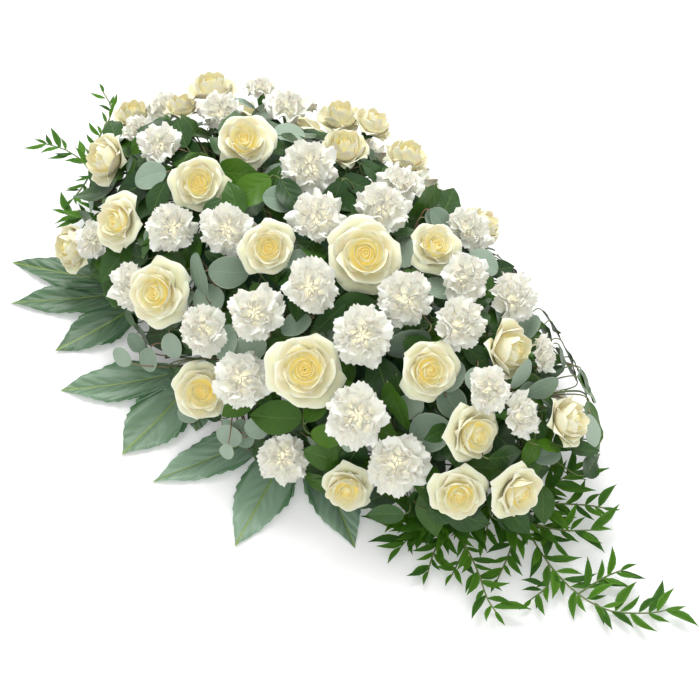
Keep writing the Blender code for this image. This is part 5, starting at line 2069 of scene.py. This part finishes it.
@dataclass(frozen=True)
class LeafFinish:
    """A leaf's finish: its greens, its veins and its gloss, and on the fatsia a painted sheen."""
    name: str
    dark: tuple
    light: tuple
    bright: tuple
    vein: tuple
    roughness: float
    coat: float
    count: float
    slant: float
    rib: float
    depth: float
    edge: tuple | None = None
    vein_width: float = 0.12
    vein_share: float = 0.55
    side_share: float = 0.25
    stray: float = 0.12

    def material(self) -> Material:
        """The material."""
        paint = Surface(self.name, self.roughness, Coat_Weight=self.coat, Coat_Roughness=0.18,
                        Specular_IOR_Level=0.28)
        reach, across = paint.attribute("reach"), paint.attribute("across")
        patch = paint.mottle(35.0, 500.0, 0.4)
        share = paint.sum("ADD", paint.times(patch, 0.6),
                          paint.times(paint.attribute("tint"), 0.6))
        colour = paint.mix(paint.ease(share, 0.2, 0.9), self.dark, self.light)
        # The bright colour is a lighter leaf colour on most foliage; on the fatsia it is a painted
        # grey-green sheen.
        colour = paint.mix(paint.attribute("bright"), colour, self.bright)
        if self.edge:
            aside = paint.ease(paint.sum("ABSOLUTE", across), 0.86, 1.0)
            colour = paint.mix(paint.times(aside, 0.6), colour, self.edge)
        given = {"Reach": reach, "Across": across, "Count": self.count, "Slant": self.slant,
                 "Stray": self.stray}
        veins = paint.veins(Rib=self.rib, Vein=self.vein_width, **given)
        colour = paint.mix(paint.times(veins, self.side_share), colour, self.vein)
        rib = paint.ease(paint.sum("ABSOLUTE", across), self.rib, self.rib * 0.4)
        paint.feed("Base Color", paint.mix(paint.times(rib, self.vein_share), colour, self.vein))
        quilt = paint.veins(Rib=self.rib * 2, Vein=0.5, **given)
        relief = paint.less(paint.times(patch, 0.6), quilt)
        paint.relief(relief, self.depth, 0.8)
        return paint.material


SALAL_FINISH = LeafFinish(
    "salal_leaf", (0.012, 0.044, 0.009), (0.034, 0.098, 0.017), (0.055, 0.155, 0.0),
    (0.10, 0.18, 0.03), 0.40, 0.14, 5.0, 0.34, 0.05, 0.0005, side_share=0.15)
EUCALYPTUS_FINISH = LeafFinish(
    "eucalyptus_leaf", (0.20, 0.29, 0.21), (0.34, 0.44, 0.34), (0.40, 0.50, 0.38),
    (0.40, 0.47, 0.36), 0.60, 0.0, 9.0, 0.55, 0.04, 0.0003, edge=(0.45, 0.50, 0.40), vein_share=0.35)
RUSCUS_FINISH = LeafFinish(
    "ruscus_leaf", (0.016, 0.080, 0.004), (0.046, 0.158, 0.007), (0.10, 0.27, 0.008),
    (0.08, 0.17, 0.03), 0.46, 0.0, 3.0, 6.0, 0.04, 0.0003, vein_share=0.30)
# The fatsia's bright colour is a painted pale grey-green sheen, the gloss of light on its leaves.
FATSIA_FINISH = LeafFinish(
    "fatsia_leaf", (0.024, 0.090, 0.018), (0.080, 0.195, 0.048), (0.27, 0.41, 0.30),
    (0.26, 0.38, 0.09), 0.32, 0.30, 8.0, 0.32, 0.07, 0.0022, edge=(0.05, 0.17, 0.05),
    vein_width=0.14, vein_share=0.8, side_share=0.30)


@dataclass(frozen=True)
class StemFinish:
    """A stem's finish: two shades along it."""
    name: str
    first: tuple
    second: tuple
    roughness: float = 0.5

    def material(self) -> Material:
        """The material."""
        paint = Surface(self.name, self.roughness)
        patch = paint.mottle(60.0, 900.0, 0.4)
        paint.feed("Base Color", paint.mix(paint.ease(patch, 0.35, 0.65), self.first, self.second))
        paint.relief(paint.noise(700.0, 3.0, (1, 1, 0.2)), 0.0003)
        return paint.material


GREEN_STEM = StemFinish("flower_stem", (0.06, 0.17, 0.03), (0.11, 0.24, 0.05))
PINK_STEM = StemFinish("eucalyptus_stem", (0.30, 0.13, 0.09), (0.22, 0.21, 0.11))
OLIVE_STEM = StemFinish("olive_stem", (0.10, 0.17, 0.04), (0.17, 0.20, 0.06))


@dataclass(frozen=True)
class FoamFinish:
    """Wet floral foam: dark green, fine open cells and some crumbled pits."""
    wet: tuple = (0.012, 0.05, 0.022)
    crumb: tuple = (0.045, 0.14, 0.06)

    def material(self) -> Material:
        """The material."""
        paint = Surface("wet_foam", 0.9)
        place = paint.add("ShaderNodeTexCoord", {}, "Object")
        cells = paint.add("ShaderNodeTexVoronoi", {"Vector": place, "Scale": 900.0})
        patch = paint.mottle(50.0, 900.0, 0.6)
        paint.feed("Base Color", paint.mix(paint.ease(patch, 0.3, 0.7), self.wet, self.crumb))
        paint.relief(paint.sum("ADD", cells, patch), 0.0008)
        return paint.material


@dataclass(frozen=True)
class TrayFinish:
    """Moulded plastic: dark green with a fine grain."""
    green: tuple = (0.018, 0.075, 0.028)
    worn: tuple = (0.05, 0.13, 0.06)

    def material(self) -> Material:
        """The material."""
        paint = Surface("moulded_tray", 0.42)
        patch = paint.mottle(25.0, 1200.0, 0.5)
        paint.feed("Base Color", paint.mix(paint.ease(patch, 0.4, 0.8), self.green, self.worn))
        paint.feed("Roughness", paint.sum("MULTIPLY_ADD", patch, 0.3, 0.28))
        paint.relief(paint.noise(2500.0), 0.0001)
        return paint.material


@dataclass
class Blooms:
    """Dresses the nodes of one kind of bloom with petals, cups and stems."""
    petals: Petals
    calyx: Calyx
    slot: Slot
    petal: Material
    green: Material
    crumple: float
    crumple_scale: float
    shop: Workshop

    def petals_on(self, head: Head, turn: float, tint: float) -> Spots:
        """Where the petals of a head go, each a golden turn from the last.

        Args:
            head: The head.
            turn: The turn of its first petal.
            tint: A number that its finish varies by.

        Returns:
            The petals' spots.
        """
        spots, kind = Spots(), self.petals
        draw = np.random.default_rng(int(head.radius * 1e6) + int(turn * 10))
        side, other = side_axes(head.axis)
        for index in range(kind.petals):
            share = index / (kind.petals - 1)
            angle = turn + GOLDEN_TURN * index
            lean = draw.normal(0.0, kind.tilt, 2) * share
            axis = unit(head.axis + side * lean[0] + other * lean[1])
            first = side * math.cos(angle) + other * math.sin(angle)
            first = unit(first - axis * (first @ axis))
            axes = np.stack((first, np.cross(axis, first), axis), axis=1)
            shape = min(int(share * kind.shapes), kind.shapes - 1)
            if head.closed and isinstance(kind, RosePetals):
                shape += kind.shapes
            spots.add(head.centre, axes, head.radius * draw.uniform(*kind.sizes), shape, tint)
        return spots

    def dress(self, nodes: list[Stemmed]) -> None:
        """Dress the nodes.

        Args:
            nodes: The nodes with their heads and stems.
        """
        petals, cups = self.petals.kit(), self.calyx.kit()
        for node in nodes:
            spots, seats, name, first = Spots(), Spots(), node.name, node.first_turn
            for place, head in enumerate(node.heads):
                tint = (first * 0.37 + place * 0.5) % 1.0
                spots.rows += self.petals_on(head, first + place, tint).rows
                axes = np.stack((*side_axes(head.axis), head.axis), axis=1)
                seats.add(head.centre, axes, head.radius, 0, tint)
            self.shop.repeat(name + "_petals", name, spots, petals, self.slot, self.petal,
                             self.crumple, self.crumple_scale, first * 3.1)
            self.shop.repeat(name + "_cup", name, seats, cups, Slot.RUSCUS, self.green, 0.0, 1.0,
                             0.0)
            self.shop.stalks(name + "_stem", name, node.stalks, Slot.RUSCUS, self.green)
        drop_kit(petals)
        drop_kit(cups)


@dataclass
class Foliage:
    """Dresses the nodes of one foliage with leaves and stems."""
    blades: LeafBlades
    shop: Workshop
    slot: Slot
    leaf: Material
    stem: Material
    crumple: float = 0.0012
    crumple_scale: float = 30.0
    ground_room: float = 0.0042

    def dress(self, sprigs: list[Sprig]) -> None:
        """Dress the nodes.

        Args:
            sprigs: What each node holds.
        """
        kit = self.blades.kit()
        for number, sprig in enumerate(sprigs):
            spots = Spots()
            for index, (laid, bright) in enumerate(sprig.blades):
                blade = laid.raised(self.ground_room)
                axes = np.stack((np.cross(blade.run, blade.upper), blade.run, blade.upper), axis=1)
                spots.add(blade.base, axes, blade.length, (index + number) % self.blades.shapes,
                          (index * 0.37 + number * 0.21) % 1.0, bright)
            self.shop.repeat(sprig.name + "_leaves", sprig.name, spots, kit, self.slot, self.leaf,
                             self.crumple, self.crumple_scale, number * 1.7)
            self.shop.stalks(sprig.name + "_stems", sprig.name, sprig.stalks, self.slot, self.stem)
        drop_kit(kit)


@dataclass
class FanLeaves:
    """Dresses the fatsia nodes: a blade with waved, toothed lobes, and its stalk."""
    shop: Workshop
    leaf: Material
    stem: Material
    rows: int = 22
    steps: int = 31
    teeth: int = 8
    tooth: float = 0.12
    wave: float = 0.0022
    thickness: float = 0.0009

    def edge(self, fan: FanLeaf) -> list[tuple[Vector, float, float, float]]:
        """The blade's edge from right to left.

        Args:
            fan: The leaf.

        Returns:
            For each point its lobe's tip, share, distance across and half width.
        """
        shares = np.array((fan.notch, 0.34, 0.42, 0.52, 0.62, 0.72, 0.82, 0.90, 0.95, 1.0))
        halves = np.array((0.0, 0.37, 0.49, 0.57, 0.56, 0.47, 0.33, 0.18, 0.08, 0.0))
        found, tips, notches = [], fan.tips, fan.notches()
        for index, (tip, width) in enumerate(tips):
            way = tip - fan.middle
            side = unit(np.array((-way[1], way[0], 0.0)))
            for direction, notch in ((-1, notches[index]), (1, notches[index + 1])):
                length = way[:2] @ way[:2]
                start = float((notch - fan.middle)[:2] @ way[:2] / length)
                first = float((notch - fan.middle)[:2] @ side[:2]) * direction
                run = np.linspace(start, 1.0, self.steps)
                half = np.interp(run, np.append(start, shares[1:]),
                                 np.append(first, halves[1:] * width))
                saw = (run * self.teeth * 1.6) % 1.0
                half = half * (1.0 + self.tooth * (saw - 0.5) * np.clip((run - 0.35) * 6, 0, 1)
                               * np.clip((1.0 - run) * 8, 0, 1))
                row = [(tip, float(share), float(across) * direction, 0.5 * width)
                       for share, across in zip(run, half)]
                found += row if direction < 0 else row[::-1][1:]
        return found

    def sheet(self, fan: FanLeaf, seed: int) -> Sheet:
        """The blade: rays from its middle to its edge.

        Args:
            fan: The leaf.
            seed: A number that makes its waves its own.

        Returns:
            The blade's sheet.
        """
        draw = np.random.default_rng(seed)
        phase = draw.uniform(0, 6)
        edge = self.edge(fan)[::-1]
        shares = np.linspace(0.0, 1.0, self.rows) ** 0.8
        grid = np.zeros((self.rows, len(edge), 3))
        reach, across = np.zeros(grid.shape[:2]), np.zeros(grid.shape[:2])
        for column, (tip, far, wide, half) in enumerate(edge):
            for row, share in enumerate(shares):
                spot = fan.place(tip, share * far, share * wide)
                lift = math.sin(column * 0.55 + phase) * share ** 3 * (1.0 - far * 0.3)
                spot[2] = max(spot[2] + self.wave * lift, self.thickness + 0.0003)
                grid[row, column] = spot
                reach[row, column], across[row, column] = share * far, share * wide / half
        grid[0, :, :2] += (grid[1, :, :2] - grid[0, :, :2]) * 0.02
        return Sheet.from_grid(grid, self.thickness, reach=reach, across=across)

    def dress(self, fans: list[tuple[FanLeaf, Sprig]]) -> None:
        """Dress the nodes.

        Args:
            fans: The leaves, and what each node holds.
        """
        for number, (fan, sprig) in enumerate(fans):
            sheet = self.sheet(fan, number)
            count = len(sheet.points)
            # How much of the painted grey sheen each leaf gets, more on each leaf after the first.
            sheet.values["bright"] = np.full(count, 0.28 + 0.28 * number)
            sheet.values["tint"] = np.full(count, 0.4 * number)
            piece = shown(fan.name + "_leaf", sheet.mesh(fan.name + "_leaf"))
            piece.data.materials.append(self.leaf)
            self.shop.settle(piece, fan.name, Slot.FATSIA)
            self.shop.stalks(fan.name + "_stem", fan.name, sprig.stalks, Slot.FATSIA, self.stem)


@dataclass(frozen=True)
class Studio:
    """A white floor, soft light from behind and above, and the camera in the front quarter."""
    lens: float = 116.3
    sensor: float = 36.0
    floor_half: float = 6.0
    floor_white: float = 0.90
    glow: float = 0.20
    world: float = 0.78
    key_power: float = 54.0
    key_size: float = 1.6
    key_place: tuple = (-1.1, 1.0, 2.2)
    fill_power: float = 10.0
    fill_size: float = 2.0
    fill_place: tuple = (1.6, -1.4, 1.6)

    def build(self) -> None:
        """Build it."""
        self.floor()
        self.lamp("key", self.key_place, self.key_power, self.key_size)
        self.lamp("fill", self.fill_place, self.fill_power, self.fill_size)
        self.sky()
        self.camera()
        bpy.context.scene.view_settings.view_transform = "Standard"

    def floor(self) -> None:
        """The floor."""
        half = self.floor_half
        mesh = bpy.data.meshes.new("floor")
        corners = [(-half, -half, 0), (half, -half, 0), (half, half, 0), (-half, half, 0)]
        mesh.from_pydata(corners, [], [(0, 1, 2, 3)])
        paint = Surface("floor_paper", 0.9, Emission_Strength=self.glow, Emission_Color=(1.0,) * 4)
        white = (self.floor_white,) * 3
        paint.feed("Base Color", paint.mix(paint.noise(3.0), white, tuple(c * 0.99 for c in white)))
        mesh.materials.append(paint.material)
        shown("floor", mesh)

    def lamp(self, name: str, place: tuple, power: float, size: float) -> None:
        """A soft square lamp that faces the spray."""
        light = bpy.data.lights.new(name, "AREA")
        light.energy, light.size = power, size
        shown(name, light).matrix_world = facing(np.array(place), np.zeros(3))

    def sky(self) -> None:
        """An even white sky."""
        world = bpy.data.worlds.new("studio")
        world.use_nodes = True
        sky = world.node_tree.nodes["Background"].inputs
        sky["Color"].default_value, sky["Strength"].default_value = (1.0,) * 4, self.world
        bpy.context.scene.world = world

    def camera(self) -> None:
        """The camera."""
        lens = bpy.data.cameras.new("front_quarter")
        lens.lens, lens.sensor_width, lens.clip_end = self.lens, self.sensor, 50.0
        bpy.context.scene.camera = shown("front_quarter", lens)
        bpy.context.scene.camera.matrix_world = facing(EYE, np.array(VIEW.aim))


def facing(eye: Vector, target: Vector) -> Matrix:
    """The place of a camera or lamp.

    Args:
        eye: Where it stands.
        target: What it faces.

    Returns:
        Its matrix.
    """
    back = unit(eye - target)
    right = unit(np.cross(UP, back))
    matrix = np.eye(4)
    matrix[:3, :3] = np.stack((right, np.cross(back, right), back), axis=1)
    matrix[:3, 3] = eye
    return Matrix(matrix.tolist())


@dataclass
class Spray:
    """The whole spray: lays out every node, then dresses it."""
    shop: Workshop

    def blooms(self) -> None:
        """Roses and carnations."""
        for points in HOLDER.rim():
            ROOM.take("tray", points, HOLDER.wall)
        laid = lay_blooms([(ROSES, ROSE_STEM), (CARNATIONS, CARNATION_STEM)])
        green = GREEN_STEM.material()
        roses = Blooms(RosePetals(), ROSE_CALYX, Slot.CREAM, RoseFinish().material(), green, 0.005,
                       25.0, self.shop)
        carnations = Blooms(CarnationPetals(), CARNATION_CALYX, Slot.WHITE,
                            CarnationFinish().material(), green, 0.004, 45.0, self.shop)
        roses.dress([node for node in laid if node.name in ROSES])
        carnations.dress([node for node in laid if node.name in CARNATIONS])

    def foliage(self) -> None:
        """Fatsia, ruscus, salal and eucalyptus, in the order that they find room."""
        fans = [FanLeaf(name, spot, lobes) for name, (spot, lobes) in FATSIA.items()]
        laid = [(fan, fan.lay()) for fan in fans]
        olive = OLIVE_STEM.material()
        FanLeaves(self.shop, FATSIA_FINISH.material(), olive).dress(laid)
        trailing = [RuscusStem(name, shoots).lay() for name, shoots in RUSCUS.items()]
        Foliage(LANCE_BLADES, self.shop, Slot.RUSCUS, RUSCUS_FINISH.material(), olive,
                0.0006).dress(trailing)
        leafy = [LeafyStem(name, leaves, SALAL_CUT) for name, leaves in SALAL.items()]
        salal = [stem.lay() for stem in leafy]
        coins = [LeafyStem(name, leaves, EUCALYPTUS_CUT) for name, leaves in EUCALYPTUS.items()]
        grey = [stem.lay() for stem in coins]
        UnderLayer().lay(leafy, salal)
        UnderLayer(60, 5, (26.0, 40.0), skirt=False).lay(coins, grey)
        short = UnderLayer(190, 9, (30.0, 46.0), cover=0.018, end_from=-1.0, skirt=False)
        short.lay(leafy, salal)
        Foliage(OVATE_BLADES, self.shop, Slot.SALAL, SALAL_FINISH.material(), olive).dress(salal)
        Foliage(ROUND_BLADES, self.shop, Slot.EUCALYPTUS, EUCALYPTUS_FINISH.material(),
                PINK_STEM.material()).dress(grey)

    def holder(self) -> None:
        """Better finishes for the tray and the foam."""
        for name, finish in (("tray", TrayFinish()), ("foam", FoamFinish())):
            for piece in bpy.context.scene.objects:
                if piece.get("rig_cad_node") == name:
                    piece.data.materials.clear()
                    piece.data.materials.append(finish.material())
                    LOG.info("%s: new finish", name)


def main() -> None:
    """Dress the spray and set the studio."""
    logging.basicConfig(level=logging.INFO)
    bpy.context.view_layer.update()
    spray = Spray(Workshop(repeats_tree(), stems_tree()))
    spray.blooms()
    spray.foliage()
    spray.holder()
    Studio().build()


if __name__ == "__main__":
    main()
